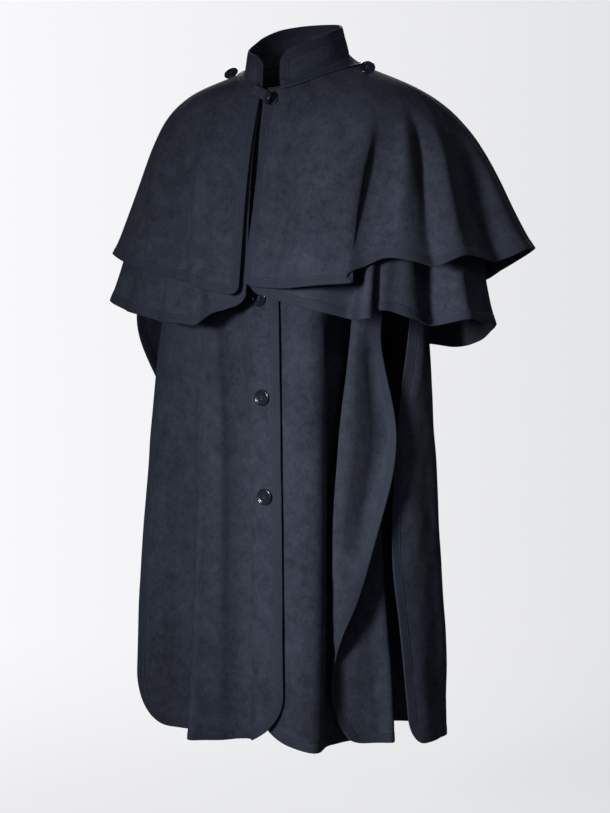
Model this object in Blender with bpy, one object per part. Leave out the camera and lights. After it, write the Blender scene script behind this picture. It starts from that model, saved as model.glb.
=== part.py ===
"""Wool cape coat: an unlined melton coat, stand collar, open sides, two-tier shoulder cape.

The wearer faces -Y and has the left hand at +X. The origin is the middle of the neck, level
with the two shoulder buttons, where the wearer's neck and shoulders hold the coat. Tables and
sizes are in millimetres; MM turns them into metres when a solid is made.

Every cloth piece is a wall round a smooth sheet. A body panel's sheet runs through plan
sections, one table row for each height, and a named column for each place across. A cape
tier's sheet runs through its fold lines, one table row for each fold.
"""
import math
from collections import namedtuple

import bpy
from mathutils import Vector
from mathutils.bvhtree import BVHTree

MM = 0.001
CLOTH = 2.0             # thickness of the melton
SEAM_GAP = 0.3          # left between two pieces that are sewn or lie together
TAPE_WIDTH = 15.0       # binding tape on every free edge
TAPE = 1.0              # thickness of the tape
NECK_RADIUS = 87.0      # neck seam of the body panels
SHOULDER_TIP = 195.0    # end of the shoulder seam, from the middle of the neck
LAP = 17.0              # degrees that each front runs past the centre line at the neck
COLLAR_RADIUS = 88.0
BUTTON_RADIUS = 13.5
TOP_BUTTON_RADIUS = 11.0
SHOULDER_BUTTON_RADIUS = 12.5
SHOULDER_BUTTON_X = 132.0
SHOULDER_BUTTON_Y = 3.0
BUTTON_PITCH = 163.5
LOWEST_BUTTON_Z = -712.0
LOWEST_BUTTON_X = 6.0
BUTTON_DRIFT = 6.5      # the placket leans, so each button up stands this far to the right

for item in list(bpy.data.objects):
    bpy.data.objects.remove(item, do_unlink=True)


# ---- smooth curves -------------------------------------------------------------------------

def smooth_at(points, knots, place):
    """Read the smooth curve through points (numbers or vectors), each at its knot."""
    last = len(points) - 1
    span = 0
    while span < last - 1 and place > knots[span + 1]:
        span += 1

    def slope(index):
        if index == 0:
            return (points[1] - points[0]) / (knots[1] - knots[0])
        if index == last:
            return (points[last] - points[last - 1]) / (knots[last] - knots[last - 1])
        gap_in = knots[index] - knots[index - 1]
        gap_out = knots[index + 1] - knots[index]
        rise_in = (points[index] - points[index - 1]) * (gap_out / gap_in)
        rise_out = (points[index + 1] - points[index]) * (gap_in / gap_out)
        return (rise_in + rise_out) / (gap_in + gap_out)

    gap = knots[span + 1] - knots[span]
    t = (place - knots[span]) / gap
    start, end = points[span], points[span + 1]
    rise = slope(span) * gap
    fall = slope(span + 1) * gap
    return (start * (1 + 2 * t) * (1 - t) ** 2 + rise * t * (1 - t) ** 2
            + end * t * t * (3 - 2 * t) - fall * t * t * (1 - t))


def running_lengths(points):
    """Distance from the first point to each point, along them."""
    lengths = [0.0]
    for before, after in zip(points, points[1:]):
        lengths.append(lengths[-1] + (after - before).length)
    return lengths


def smoothed(points, steps=10):
    """The smooth curve through points, as a dense chain."""
    knots = running_lengths(points)
    chain = []
    for before, after in zip(knots, knots[1:]):
        chain += [smooth_at(points, knots, before + (after - before) * k / steps)
                  for k in range(steps)]
    return chain + [points[-1]]


class Section:
    """A curve across the cloth, read by the share of its length from 0 to 1."""

    def __init__(self, chain):
        self.chain = chain
        self.lengths = running_lengths(chain)
        self.width = self.lengths[-1]

    def at(self, share):
        goal = min(max(share, 0.0), 1.0) * self.width
        span = 0
        while span < len(self.chain) - 2 and goal > self.lengths[span + 1]:
            span += 1
        gap = self.lengths[span + 1] - self.lengths[span]
        part = (goal - self.lengths[span]) / gap
        return self.chain[span].lerp(self.chain[span + 1], part)


class Sheet:
    """A smooth sheet through its levels, each a function of the share across, top to bottom."""

    def __init__(self, levels):
        self.levels = levels
        samples = [k / 12 for k in range(13)]
        rows = [[level(share) for share in samples] for level in levels]
        self.knots = [0.0]
        for upper, lower in zip(rows, rows[1:]):
            mean = sum((b - a).length for a, b in zip(upper, lower)) / len(samples)
            self.knots.append(self.knots[-1] + mean)
        self.length = self.knots[-1]
        self.width = running_lengths([levels[-1](k / 80) for k in range(81)])[-1]

    def at(self, across, down):
        """Point at a distance across (of the hem's width) and down (of the mean length)."""
        share = min(max(across / self.width, 0.0), 1.0)
        points = [level(share) for level in self.levels]
        return smooth_at(points, self.knots, min(max(down, 0.0), self.length))

    def normal(self, across, down, step=2.0):
        """Unit normal, by small steps both ways along the sheet."""
        sideways = self.at(across + step, down) - self.at(across - step, down)
        downwards = self.at(across, down + step) - self.at(across, down - step)
        return sideways.cross(downwards).normalized()


# ---- from a sheet to a cut panel -----------------------------------------------------------

Corner = namedtuple("Corner", "width height")
BEND_SHARE = 0.8        # how strongly the bends of the cloth draw the columns to them
LEVEL_ROWS = 0.93       # share of the shortest column down to which the rows are level


class Panel:
    """A grid over a sheet, cut with two rounded lower corners and a line one tape inside.

    Points and normals are rows of columns. Row 0 is the upper edge; the first and last
    columns and the last row are the free edge. rows holds the share of the way down to the
    tape line for each row above the last.
    """

    def __init__(self, sheet, first, last, columns, rows, outside, seam_normal=None, steps=4):
        self.sheet = sheet
        self.first, self.last = first, last
        self.outside = outside
        edge = self.edge_stations(columns, steps)
        inner = [self.inset(across) for across in edge[1:-1]]
        self.places = []
        for share in rows:
            self.places.append(self.grid_row(inner, share))
        self.places.append([(across, self.cut(across)) for across in edge])
        self.points = [[sheet.at(*place) for place in line] for line in self.places]
        self.normals = [[sheet.normal(*place) * outside for place in line]
                        for line in self.places]
        if seam_normal:
            self.normals[0] = [seam_normal(point, normal)
                               for point, normal in zip(self.points[0], self.normals[0])]

    def lift(self, across):
        """How far the rounded corners raise the lower edge."""
        total = 0.0
        for corner, reach in ((self.first, across), (self.last, self.sheet.width - across)):
            if reach < corner.width:
                share = 1 - reach / corner.width
                total += corner.height * (1 - math.sqrt(max(0.0, 1 - share * share)))
        return total

    def cut(self, across):
        return self.sheet.length - self.lift(across)

    def edge_stations(self, columns, steps):
        """Places across at which the columns end: closer together round the corners."""
        width = self.sheet.width
        turns = [k * math.pi / 2 / steps for k in range(steps + 1)]
        turns.insert(1, math.pi / 2 / steps * 0.55)
        start = [self.first.width * (1 - math.cos(turn)) for turn in turns]
        end = [width - self.last.width * (1 - math.cos(turn)) for turn in reversed(turns)]
        return start + self.between(start[-1], end[0], columns - len(start) - len(end)) + end

    def between(self, start, end, count):
        """Places between two ends, closer where the cloth bends and where a level is long."""
        samples = [start + (end - start) * k / 240 for k in range(241)]
        effort = [0.0] * len(samples)
        for level in self.sheet.levels:
            points = [level(place / self.sheet.width) for place in samples]
            lengths = running_lengths(points)
            bends = [0.0]
            for before, here, after in zip(points, points[1:], points[2:]):
                bends.append(bends[-1] + (here - before).angle(after - here, 0.0))
            bends.append(bends[-1])
            for k in range(len(samples)):
                effort[k] += lengths[k] / lengths[-1] + BEND_SHARE * bends[k] / bends[-1]
        places = []
        span = 0
        for k in range(1, count + 1):
            goal = effort[-1] * k / (count + 1)
            while effort[span + 1] < goal:
                span += 1
            part = (goal - effort[span]) / (effort[span + 1] - effort[span])
            places.append(samples[span] + (samples[span + 1] - samples[span]) * part)
        return places

    def inset(self, across, step=0.2):
        """The place one tape's width inside the cut edge."""
        slope = (self.cut(across + step) - self.cut(across - step)) / (2 * step)
        size = math.hypot(1.0, slope)
        return (across + TAPE_WIDTH * slope / size, self.cut(across) - TAPE_WIDTH / size)

    def tape_reach(self, edge, inward, down):
        """Distance across that makes one tape's width, measured from a side edge."""
        rim = self.sheet.at(edge, down)
        short, long = 0.0, self.sheet.width * 0.2
        for _ in range(20):
            middle = (short + long) / 2
            if (self.sheet.at(edge + inward * middle, down) - rim).length < TAPE_WIDTH:
                short = middle
            else:
                long = middle
        return short

    def grid_row(self, inner, share):
        """Places of one row above the tape line, the side tapes keeping their width.

        Rows are level until they near the shortest column, then share out what is left.
        """
        width = self.sheet.width
        ends = [self.cut(across) - TAPE_WIDTH * 0.7 for across in (0.0, width)]
        full = max(down for across, down in inner)
        level_share = LEVEL_ROWS * min(ends) / full

        def depth(bottom):
            if share <= level_share:
                return full * share
            rest = (share - level_share) / (1 - level_share)
            return full * level_share + (bottom - full * level_share) * rest

        near, far = inner[0][0], inner[-1][0]
        near_now = self.tape_reach(0.0, 1, depth(inner[0][1]))
        far_now = width - self.tape_reach(width, -1, depth(inner[-1][1]))
        near_now += (near - near_now) * share ** 4
        far_now += (far - far_now) * share ** 4
        line = [(0.0, depth(ends[0]))]
        for across, bottom in inner:
            part = (across - near) / (far - near)
            line.append((near_now + (far_now - near_now) * part, depth(bottom)))
        return line + [(width, depth(ends[1]))]

    def cells(self):
        """Cells of the grid, each turned so that its splitting diagonal lies on the sheet."""
        turned = []
        for cell in quads_between(len(self.points[0]), len(self.points)):
            a, b, c, d = (self.points[row][column] for row, column in cell)
            places = [self.places[row][column] for row, column in cell]
            across, down = (sum(values) / 4 for values in zip(*places))
            middle = self.sheet.at(across, down)
            straight = ((a + c) / 2 - middle).length < ((b + d) / 2 - middle).length
            turned.append(cell if straight else cell[1:] + cell[:1])
        return turned

    def surface(self):
        """The outer face, for laying buttons on it."""
        outer = self.moved(CLOTH / 2)
        columns = len(outer[0])
        faces = []
        for cell in self.cells():
            a, b, c, d = (row * columns + column for row, column in cell)
            faces += [(a, b, c), (a, c, d)]
        return BVHTree.FromPolygons([point for line in outer for point in line], faces)

    def moved(self, distance):
        """The grid's points, moved out along their normals."""
        return [[point + normal * distance for point, normal in zip(line, facing)]
                for line, facing in zip(self.points, self.normals)]


def even_rows(count):
    return [row / (count - 1) for row in range(count)]


def quads_between(columns, rows):
    """Corner places (row, column) of each cell of a grid."""
    return [((r, c), (r, c + 1), (r + 1, c + 1), (r + 1, c))
            for r in range(rows - 1) for c in range(columns - 1)]


def wall(name, outer, inner, cells, finish):
    """Closed solid between two grids over the cells named, with a rim round their border."""
    vertices, numbers = [], {}

    def number(side, place):
        key = (side, place)
        if key not in numbers:
            numbers[key] = len(vertices)
            grid = outer if side else inner
            vertices.append(grid[place[0]][place[1]] * MM)
        return numbers[key]

    faces, borders = [], {}
    for a, b, c, d in cells:
        faces += [[number(1, a), number(1, b), number(1, c)],
                  [number(1, a), number(1, c), number(1, d)],
                  [number(0, c), number(0, b), number(0, a)],
                  [number(0, d), number(0, c), number(0, a)]]
        for side in ((a, b), (b, c), (c, d), (d, a)):
            if (side[1], side[0]) in borders:
                del borders[(side[1], side[0])]
            else:
                borders[side] = True
    for start, end in borders:
        faces += [[number(1, end), number(1, start), number(0, start)],
                  [number(1, end), number(0, start), number(0, end)]]
    volume = sum(vertices[i].dot(vertices[j].cross(vertices[k])) for i, j, k in faces)
    if volume < 0:
        faces = [face[::-1] for face in faces]
    return add_object(name, vertices, faces, finish)


def add_object(name, vertices, faces, finish):
    mesh = bpy.data.meshes.new(name)
    mesh.from_pydata(vertices, [], faces)
    mesh.shade_smooth()
    mesh.set_sharp_from_angle(angle=math.radians(40))
    mesh.materials.append(finish)
    body = bpy.data.objects.new(name, mesh)
    bpy.context.scene.collection.objects.link(body)
    return body


def cloth_panel(name, panel, finish):
    """The panel itself: a wall of cloth, half its thickness on each side of the sheet."""
    half = CLOTH / 2
    return wall(name, panel.moved(half), panel.moved(-half), panel.cells(), finish)


def edge_binding(name, panel, finish, first_row=0):
    """Tape on the outer face of a panel, along its free edge, made from the panel's points."""
    base = CLOTH / 2 + SEAM_GAP
    last_row, last_column = len(panel.points) - 2, len(panel.points[0]) - 2
    cells = []
    for cell in panel.cells():
        row, column = min(cell)
        if row == last_row or (row >= first_row and column in (0, last_column)):
            cells.append(cell)
    return wall(name, panel.moved(base + TAPE), panel.moved(base), cells, finish)


# ---- finishes ------------------------------------------------------------------------------

def finish_of(name, colour, roughness, metallic=0.0):
    material = bpy.data.materials.new(name)
    material.use_nodes = True
    shader = material.node_tree.nodes["Principled BSDF"]
    shader.inputs["Base Color"].default_value = (*colour, 1.0)
    shader.inputs["Roughness"].default_value = roughness
    shader.inputs["Metallic"].default_value = metallic
    return material


MELTON_NAVY = (0.020, 0.024, 0.036)
TAPE_NAVY = (0.026, 0.031, 0.045)
BUTTON_NAVY = (0.010, 0.013, 0.022)


# ---- the neck and shoulders that the coat is cut for ---------------------------------------

# Half of a symmetrical figure. Angle 0 is the centre front, 180 the centre back.
FigureRow = namedtuple("FigureRow", "angle neck_z shoulder_radius shoulder_z")
FIGURE = (
    FigureRow(0, -50, 112, -125),
    FigureRow(30, -43, 132, -90),
    FigureRow(60, -27, 168, -54),
    FigureRow(90, -11, 200, -46),
    FigureRow(120, -3, 203, -44),
    FigureRow(150, 4, 172, -36),
    FigureRow(180, 6, 142, -30),
)
FIGURE_ANGLES = [row.angle for row in FIGURE]


def figure(column, angle):
    """One column of the figure at an angle, alike on both sides."""
    turned = abs((angle + 180) % 360 - 180)
    return smooth_at([getattr(row, column) for row in FIGURE], FIGURE_ANGLES, turned)


def polar(angle, radius, height):
    """Point at an angle from the centre front, growing towards the wearer's left."""
    turn = math.radians(angle)
    return Vector((radius * math.sin(turn), -radius * math.cos(turn), height))


def neck_arc(start, end, radius, steps=24):
    """Neck seam between two angles; radius is a function of the angle."""
    angles = [start + (end - start) * k / steps for k in range(steps + 1)]
    return [polar(angle, radius(angle), figure("neck_z", angle)) for angle in angles]


def shoulder_seam(side, behind):
    """Corner at the neck and tip of the shoulder seam, in front of or behind its plane."""
    y = (SEAM_GAP / 2 + 0.05) * behind
    drop = figure("shoulder_z", 90) - 18
    return [Vector((side * (NECK_RADIUS + 1), y, figure("neck_z", 90))),
            Vector((side * SHOULDER_TIP, y, drop))]


def upright_on_seam(point, normal):
    """On the shoulder seam both panels' edges stand upright, so that they lie face to face."""
    if abs(point.y) > 1.0:
        return normal
    return Vector((normal.x, 0.0, normal.z)).normalized()


def plan_levels(rows):
    """Levels from table rows: a height, then a plan point for each named column.

    A column keeps the same share across on every level, so a fold runs down its columns.
    """
    sections = [[Vector((x, y, row.z)) for x, y in row[1:]] for row in rows]
    lengths = [running_lengths(points) for points in sections]
    shares = [sum(line[k] / line[-1] for line in lengths) / len(rows)
              for k in range(len(sections[0]))]

    def level_of(points, line):
        return lambda share: smooth_at(points, line, smooth_at(line, shares, share))

    return [level_of(points, line) for points, line in zip(sections, lengths)]


# ---- body panels ---------------------------------------------------------------------------

FRONT_CORNER = Corner(150, 95)      # long round at the centre front hem
SIDE_CORNER = Corner(78, 100)       # side corner of the fronts
BACK_CORNER = Corner(34, 46)

RightFront = namedtuple("RightFront", "z edge placket valley ridge behind_ridge side side_edge")
RIGHT_FRONT = (
    RightFront(-180, (28, -104), (-4, -106), (-60, -104), (-105, -98), (-150, -82), (-190, -55),
               (-215, -30)),
    RightFront(-430, (28, -100), (-4, -104), (-88, -88), (-117, -100), (-137, -84), (-195, -68),
               (-252, -40)),
    RightFront(-620, (33, -103), (0, -107), (-79, -84), (-125, -105), (-148, -76), (-210, -70),
               (-274, -52)),
    RightFront(-820, (36, -104), (4, -110), (-80, -79), (-135, -111), (-158, -66), (-222, -70),
               (-284, -68)),
    RightFront(-1000, (37, -103), (6, -110), (-82, -75), (-143, -114), (-170, -58), (-228, -66),
               (-286, -78)),
    RightFront(-1138, (37, -101), (6, -109), (-84, -72), (-150, -116), (-176, -53), (-230, -62),
               (-287, -82)),
)

# The side of the left front is folded in an S: the wall runs back, turns at the back fold,
# comes forward with its wrong side out, and turns again at the front fold into the flap.
LeftFront = namedtuple(
    "LeftFront", "z edge lap_end curve valley wall back_fold_in back_fold_out between"
                 " front_fold_in front_fold_out flap side_edge")
LEFT_FRONT = (
    LeftFront(-100, (-28, -84), (28, -86), (60, -83), (88, -76), (108, -70), (125, -62),
              (136, -57), (146, -52), (158, -46), (170, -40), (184, -33), (197, -24)),
    LeftFront(-180, (-28, -92), (28, -99), (62, -96), (93, -84), (112, -66), (128, -48),
              (140, -42), (150, -44), (160, -49), (174, -50), (188, -42), (199, -30)),
    LeftFront(-310, (-29, -89), (29, -97), (66, -88), (99, -56), (107, -14), (118, 8),
              (129, 4), (127, -16), (131, -37), (149, -45), (167, -18), (186, 12)),
    LeftFront(-430, (-30, -86), (30, -95), (82, -83), (92, -22), (84, 52), (88, 84),
              (100, 80), (103, 40), (102, 6), (112, -6), (129, 5), (147, 26)),
    LeftFront(-620, (-34, -88), (34, -98), (92, -80), (83, -20), (86, 16), (118, 52),
              (131, 45), (113, 8), (96, -20), (104, -34), (138, 2), (172, 38)),
    LeftFront(-820, (-36, -88), (37, -99), (92, -78), (80, -20), (86, 18), (128, 58),
              (140, 47), (116, 6), (89, -28), (97, -42), (117, -28), (138, -2)),
    LeftFront(-910, (-37, -88), (38, -99), (91, -77), (79, -20), (87, 21), (134, 62),
              (145, 51), (121, 17), (102, -10), (91, -31), (104, -39), (117, -23)),
    LeftFront(-955, (-37, -88), (38, -99), (90, -77), (78, -19), (88, 22), (137, 64),
              (148, 52), (126, 23), (107, -2), (94, -21), (96, -34), (109, -33)),
    LeftFront(-1000, (-37, -88), (38, -98), (89, -77), (78, -18), (88, 24), (140, 66),
              (151, 54), (129, 28), (112, 5), (101, -9), (93, -20), (92, -32)),
    LeftFront(-1138, (-37, -87), (38, -96), (82, -80), (78, -14), (88, 28), (147, 70),
              (157, 57), (134, 40), (115, 22), (104, 6), (96, -6), (90, -20)),
)
LEFT_FRONT_ROWS = (0, 0.035, 0.09, 0.16, 0.23, 0.295, 0.36, 0.445, 0.535, 0.625, 0.71, 0.77,
                   0.815, 0.86, 0.92, 1)

Back = namedtuple(
    "Back", "z left_edge left_ridge left_side left_corner valley_1 ridge_1 valley_2 centre"
            " valley_3 ridge_2 valley_4 right_corner right_side right_edge")
BACK = (
    Back(-180, (207, 30), (198, 62), (180, 85), (155, 105), (125, 118), (95, 126), (50, 131),
         (0, 133), (-50, 131), (-95, 126), (-130, 116), (-165, 96), (-195, 64), (-215, 25)),
    Back(-430, (160, 98), (174, 122), (170, 146), (154, 163), (122, 164), (88, 178), (45, 166),
         (3, 182), (-45, 168), (-95, 178), (-150, 160), (-215, 142), (-282, 70), (-322, -22)),
    Back(-620, (154, 66), (172, 100), (176, 130), (170, 158), (132, 164), (94, 184), (48, 170),
         (3, 190), (-46, 174), (-98, 186), (-154, 166), (-216, 152), (-262, 96), (-276, 28)),
    Back(-820, (160, 46), (182, 88), (188, 124), (185, 157), (144, 168), (100, 192), (52, 176),
         (4, 199), (-48, 180), (-103, 194), (-158, 170), (-218, 158), (-258, 104), (-262, 40)),
    Back(-1000, (180, 49), (197, 85), (200, 122), (196, 158), (154, 174), (108, 200), (56, 182),
         (5, 207), (-50, 186), (-109, 203), (-163, 174), (-220, 164), (-252, 110), (-250, 50)),
    Back(-1138, (192, 55), (205, 86), (205, 122), (201, 159), (159, 178), (112, 206), (58, 188),
         (5, 214), (-52, 190), (-112, 210), (-166, 178), (-222, 168), (-246, 116), (-242, 58)),
)


def right_front_panel():
    neck = neck_arc(LAP, -90, lambda angle: NECK_RADIUS + 1.5)
    top = Section(neck[:-1] + shoulder_seam(-1, -1)).at
    sheet = Sheet([top] + plan_levels(RIGHT_FRONT))
    return Panel(sheet, FRONT_CORNER, SIDE_CORNER, 21, even_rows(10), 1, upright_on_seam)


def left_front_panel():
    neck = neck_arc(-LAP, 90, lambda angle: NECK_RADIUS + 1.5 - 7 * max(0, 1 - (angle + LAP) / 70))
    top = Section(neck[:-1] + shoulder_seam(1, -1)).at
    sheet = Sheet([top] + plan_levels(LEFT_FRONT))
    return Panel(sheet, FRONT_CORNER, SIDE_CORNER, 35, LEFT_FRONT_ROWS, -1, upright_on_seam)


def back_panel():
    neck = neck_arc(90, 270, lambda angle: NECK_RADIUS + 1.5)
    top = Section(shoulder_seam(1, 1)[::-1] + neck[1:-1] + shoulder_seam(-1, 1)).at
    sheet = Sheet([top] + plan_levels(BACK))
    return Panel(sheet, BACK_CORNER, BACK_CORNER, 34, even_rows(9), -1, upright_on_seam)


# ---- cape tiers ----------------------------------------------------------------------------

# A row for each fold line, from the wearer's left front edge round the back to the right one.
# shoulder is the angle where the fold starts, hem_angle and hem_radius where it ends.
Fold = namedtuple("Fold", "shoulder hem_angle hem_radius hem_z")
UPPER_CAPE = (
    Fold(3, -3, 150, -362),
    Fold(14, 12, 162, -364),
    Fold(34, 30, 197, -364),
    Fold(56, 44, 242, -355),
    Fold(67, 51, 272, -342),
    Fold(71, 58, 257, -327),
    Fold(75, 64, 262, -317),
    Fold(80, 71, 292, -320),
    Fold(84, 77, 320, -323),
    Fold(89, 86, 334, -314),
    Fold(96, 93, 360, -313),
    Fold(103, 101, 384, -308),
    Fold(110, 109, 393, -303),
    Fold(118, 119, 388, -310),
    Fold(128, 132, 354, -340),
    Fold(140, 143, 336, -364),
    Fold(150, 154, 296, -372),
    Fold(163, 165, 292, -384),
    Fold(176, 177, 262, -388),
    Fold(190, 190, 276, -390),
    Fold(203, 204, 276, -382),
    Fold(216, 216, 318, -366),
    Fold(228, 229, 334, -342),
    Fold(240, 241, 370, -314),
    Fold(252, 253, 362, -306),
    Fold(264, 264, 366, -304),
    Fold(276, 276, 344, -310),
    Fold(288, 288, 330, -313),
    Fold(298, 297, 300, -325),
    Fold(309, 306, 254, -341),
    Fold(318, 318, 212, -353),
    Fold(325, 327, 191, -358),
    Fold(331, 332, 200, -362),
    Fold(342, 344, 168, -375),
    Fold(354, 353, 152, -381),
)
LOWER_CAPE = (
    Fold(3, -1, 138, -373),
    Fold(14, 14, 146, -381),
    Fold(34, 30, 166, -392),
    Fold(56, 44, 198, -402),
    Fold(67, 53, 234, -409),
    Fold(72, 58, 258, -412),
    Fold(76, 61, 240, -406),
    Fold(79, 66, 250, -400),
    Fold(83, 73, 277, -409),
    Fold(88, 80, 300, -414),
    Fold(94, 90, 319, -416),
    Fold(102, 100, 328, -420),
    Fold(111, 110, 333, -427),
    Fold(122, 122, 325, -440),
    Fold(134, 134, 316, -463),
    Fold(147, 148, 296, -477),
    Fold(155, 155, 266, -472),
    Fold(166, 166, 268, -474),
    Fold(178, 178, 248, -470),
    Fold(192, 192, 266, -474),
    Fold(205, 205, 260, -470),
    Fold(217, 217, 298, -462),
    Fold(230, 230, 306, -446),
    Fold(242, 242, 330, -424),
    Fold(254, 255, 336, -404),
    Fold(266, 268, 350, -393),
    Fold(278, 281, 352, -396),
    Fold(288, 291, 306, -410),
    Fold(297, 299, 264, -418),
    Fold(308, 310, 226, -427),
    Fold(317, 320, 204, -427),
    Fold(324, 328, 186, -428),
    Fold(328, 331, 162, -411),
    Fold(338, 340, 150, -403),
    Fold(354, 355, 138, -391),
)
CAPE_CORNER = Corner(20, 20)
UPPER_NECK = (94.4, 5.8)        # cape neck edge: radius, height over the body's neck seam
LOWER_NECK = (92.0, 2.8)
TIER_STEP = 5.5                 # the lower tier lies this far inside the upper one


def cape_sheet(folds, neck, inside):
    """Sheet of one tier through its neck edge, the shoulder line and the hem."""
    hem = [polar(fold.hem_angle, fold.hem_radius, fold.hem_z) for fold in folds]
    knots = running_lengths(hem)
    angles = [float(fold.shoulder) for fold in folds]

    def angle_at(share):
        return smooth_at(angles, knots, share * knots[-1])

    def neck_line(share):
        angle = angle_at(share)
        return polar(angle, neck[0], figure("neck_z", angle) + neck[1])

    def shoulder_line(share):
        angle = angle_at(share)
        return polar(angle, figure("shoulder_radius", angle) - inside,
                     figure("shoulder_z", angle) - inside)

    def hem_line(share):
        return smooth_at(hem, knots, share * knots[-1])

    return Sheet([neck_line, shoulder_line, hem_line])


def cape_panel(folds, neck, inside):
    sheet = cape_sheet(folds, neck, inside)
    return Panel(sheet, CAPE_CORNER, CAPE_CORNER, 50, even_rows(6), -1, steps=2)


# ---- collar, neckband and tab --------------------------------------------------------------

CollarRow = namedtuple("CollarRow", "angle top_z top_radius")
COLLAR = (
    CollarRow(14, 17, 84),
    CollarRow(33, 24, 82),
    CollarRow(51, 34, 80),
    CollarRow(70, 45, 78),
    CollarRow(95, 55, 75),
    CollarRow(123, 62, 72),
    CollarRow(150, 67, 72),
    CollarRow(180, 69, 73),
    CollarRow(210, 67, 74),
    CollarRow(240, 59, 75),
    CollarRow(263, 46, 77),
    CollarRow(279, 34, 79),
    CollarRow(303, 22, 81),
    CollarRow(323, 15, 82),
    CollarRow(340, 10, 83),
    CollarRow(352, 7, 84),
)
COLLAR_CORNER = Corner(26, 18)
BAND_RISE = 14.0        # the neckband climbs this far up the collar
BAND_REACH = 9.0        # and reaches this far out over the cape
BAND = 1.4              # its thickness
BAND_CLEARANCE = 1.2    # over the cape, whose folds start there


def collar_angle(share):
    return COLLAR[0].angle + (COLLAR[-1].angle - COLLAR[0].angle) * share


def collar_panel():
    """Sheet from the neck seam up to the free edge, which is its last level."""
    angles = [row.angle for row in COLLAR]

    def base(share):
        angle = collar_angle(share)
        turned = abs((angle + 180) % 360 - 180)
        rest = 0.6 + 1.0 * min(1.0, turned / 60)
        return polar(angle, COLLAR_RADIUS, figure("neck_z", angle) + rest)

    def top(share):
        angle = collar_angle(share)
        return polar(angle, smooth_at([float(row.top_radius) for row in COLLAR], angles, angle),
                     smooth_at([float(row.top_z) for row in COLLAR], angles, angle))

    def middle(share):
        return base(share).lerp(top(share), 0.5) + polar(collar_angle(share), 1.0, 0.0)

    sheet = Sheet([base, middle, top])
    return Panel(sheet, COLLAR_CORNER, COLLAR_CORNER, 30, even_rows(4), 1, steps=3)


def column_at_angle(sheet, angle):
    """Distance across at which a cape's sheet leaves the neck at an angle."""
    first, last = 0.0, sheet.width
    for _ in range(30):
        middle = (first + last) / 2
        point = sheet.at(middle, 0.0)
        if math.degrees(math.atan2(point.x, -point.y)) % 360 < angle:
            first = middle
        else:
            last = middle
    return middle


def neckband(collar, upper, finish):
    """Band round the collar's foot that covers the neck edge of the cape."""
    lean = CLOTH / 2 + SEAM_GAP + BAND / 2
    clear = CLOTH / 2 + BAND_CLEARANCE + BAND / 2
    points, normals = [[], [], []], [[], [], []]
    for column in range(1, len(collar.points[0]) - 1):
        across = collar.places[1][column][0]
        angle = collar_angle(across / collar.sheet.width)
        high = collar.sheet.at(across, BAND_RISE)
        rise_normal = collar.sheet.normal(across, BAND_RISE)
        place = (column_at_angle(upper.sheet, angle), BAND_REACH)
        fall_normal = upper.sheet.normal(*place) * upper.outside
        high += rise_normal * lean
        low = upper.sheet.at(*place) + fall_normal * clear
        middle_normal = (rise_normal + fall_normal).normalized()
        middle = upper.sheet.at(place[0], 0.0) + middle_normal * clear
        for row, point, normal in ((0, high, rise_normal), (1, middle, middle_normal),
                                   (2, low, fall_normal)):
            points[row].append(point)
            normals[row].append(normal)
    outer = [[p + n * BAND / 2 for p, n in zip(*line)] for line in zip(points, normals)]
    inner = [[p - n * BAND / 2 for p, n in zip(*line)] for line in zip(points, normals)]
    return wall("neckband", outer, inner, quads_between(len(points[0]), 3), finish)


TAB_LINE = (Vector((-24, -97.8, -44)), Vector((-6, -101.2, -51)), Vector((16, -103.8, -62)),
            Vector((27, -104.4, -66)))
TAB_WIDTH = 17.0
TAB_FACING = Vector((0.05, -0.96, 0.28)).normalized()


def neck_tab(finish):
    """Short tab across the centre front; the top button sits near its rounded end."""
    steps = 10
    rail = Section(smoothed(TAB_LINE, 4))
    points = [[], [], []]
    for k in range(steps + 1):
        share = k / steps
        along = (rail.at(share + 0.02) - rail.at(share - 0.02)).normalized()
        side = along.cross(TAB_FACING).normalized()
        rounding = max(0.0, (share - 0.8) / 0.2)
        half = TAB_WIDTH / 2 * math.sqrt(max(0.12, 1 - rounding ** 2))
        for row, reach in enumerate((1.0, 0.0, -1.0)):
            points[row].append(rail.at(share) + side * half * reach)
    outer = [[point + TAB_FACING * CLOTH / 2 for point in line] for line in points]
    inner = [[point - TAB_FACING * CLOTH / 2 for point in line] for line in points]
    return wall("neck_tab", outer, inner, quads_between(steps + 1, 3), finish)


# ---- buttons -------------------------------------------------------------------------------

# Outline of a sewn-through button from its back to its dished front: share of the radius, height
BUTTON_OUTLINE = ((0.82, 0.0), (0.97, 0.9), (1.0, 2.2), (0.93, 3.6), (0.80, 3.9), (0.68, 2.9))
BUTTON_SIDES = 20


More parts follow.
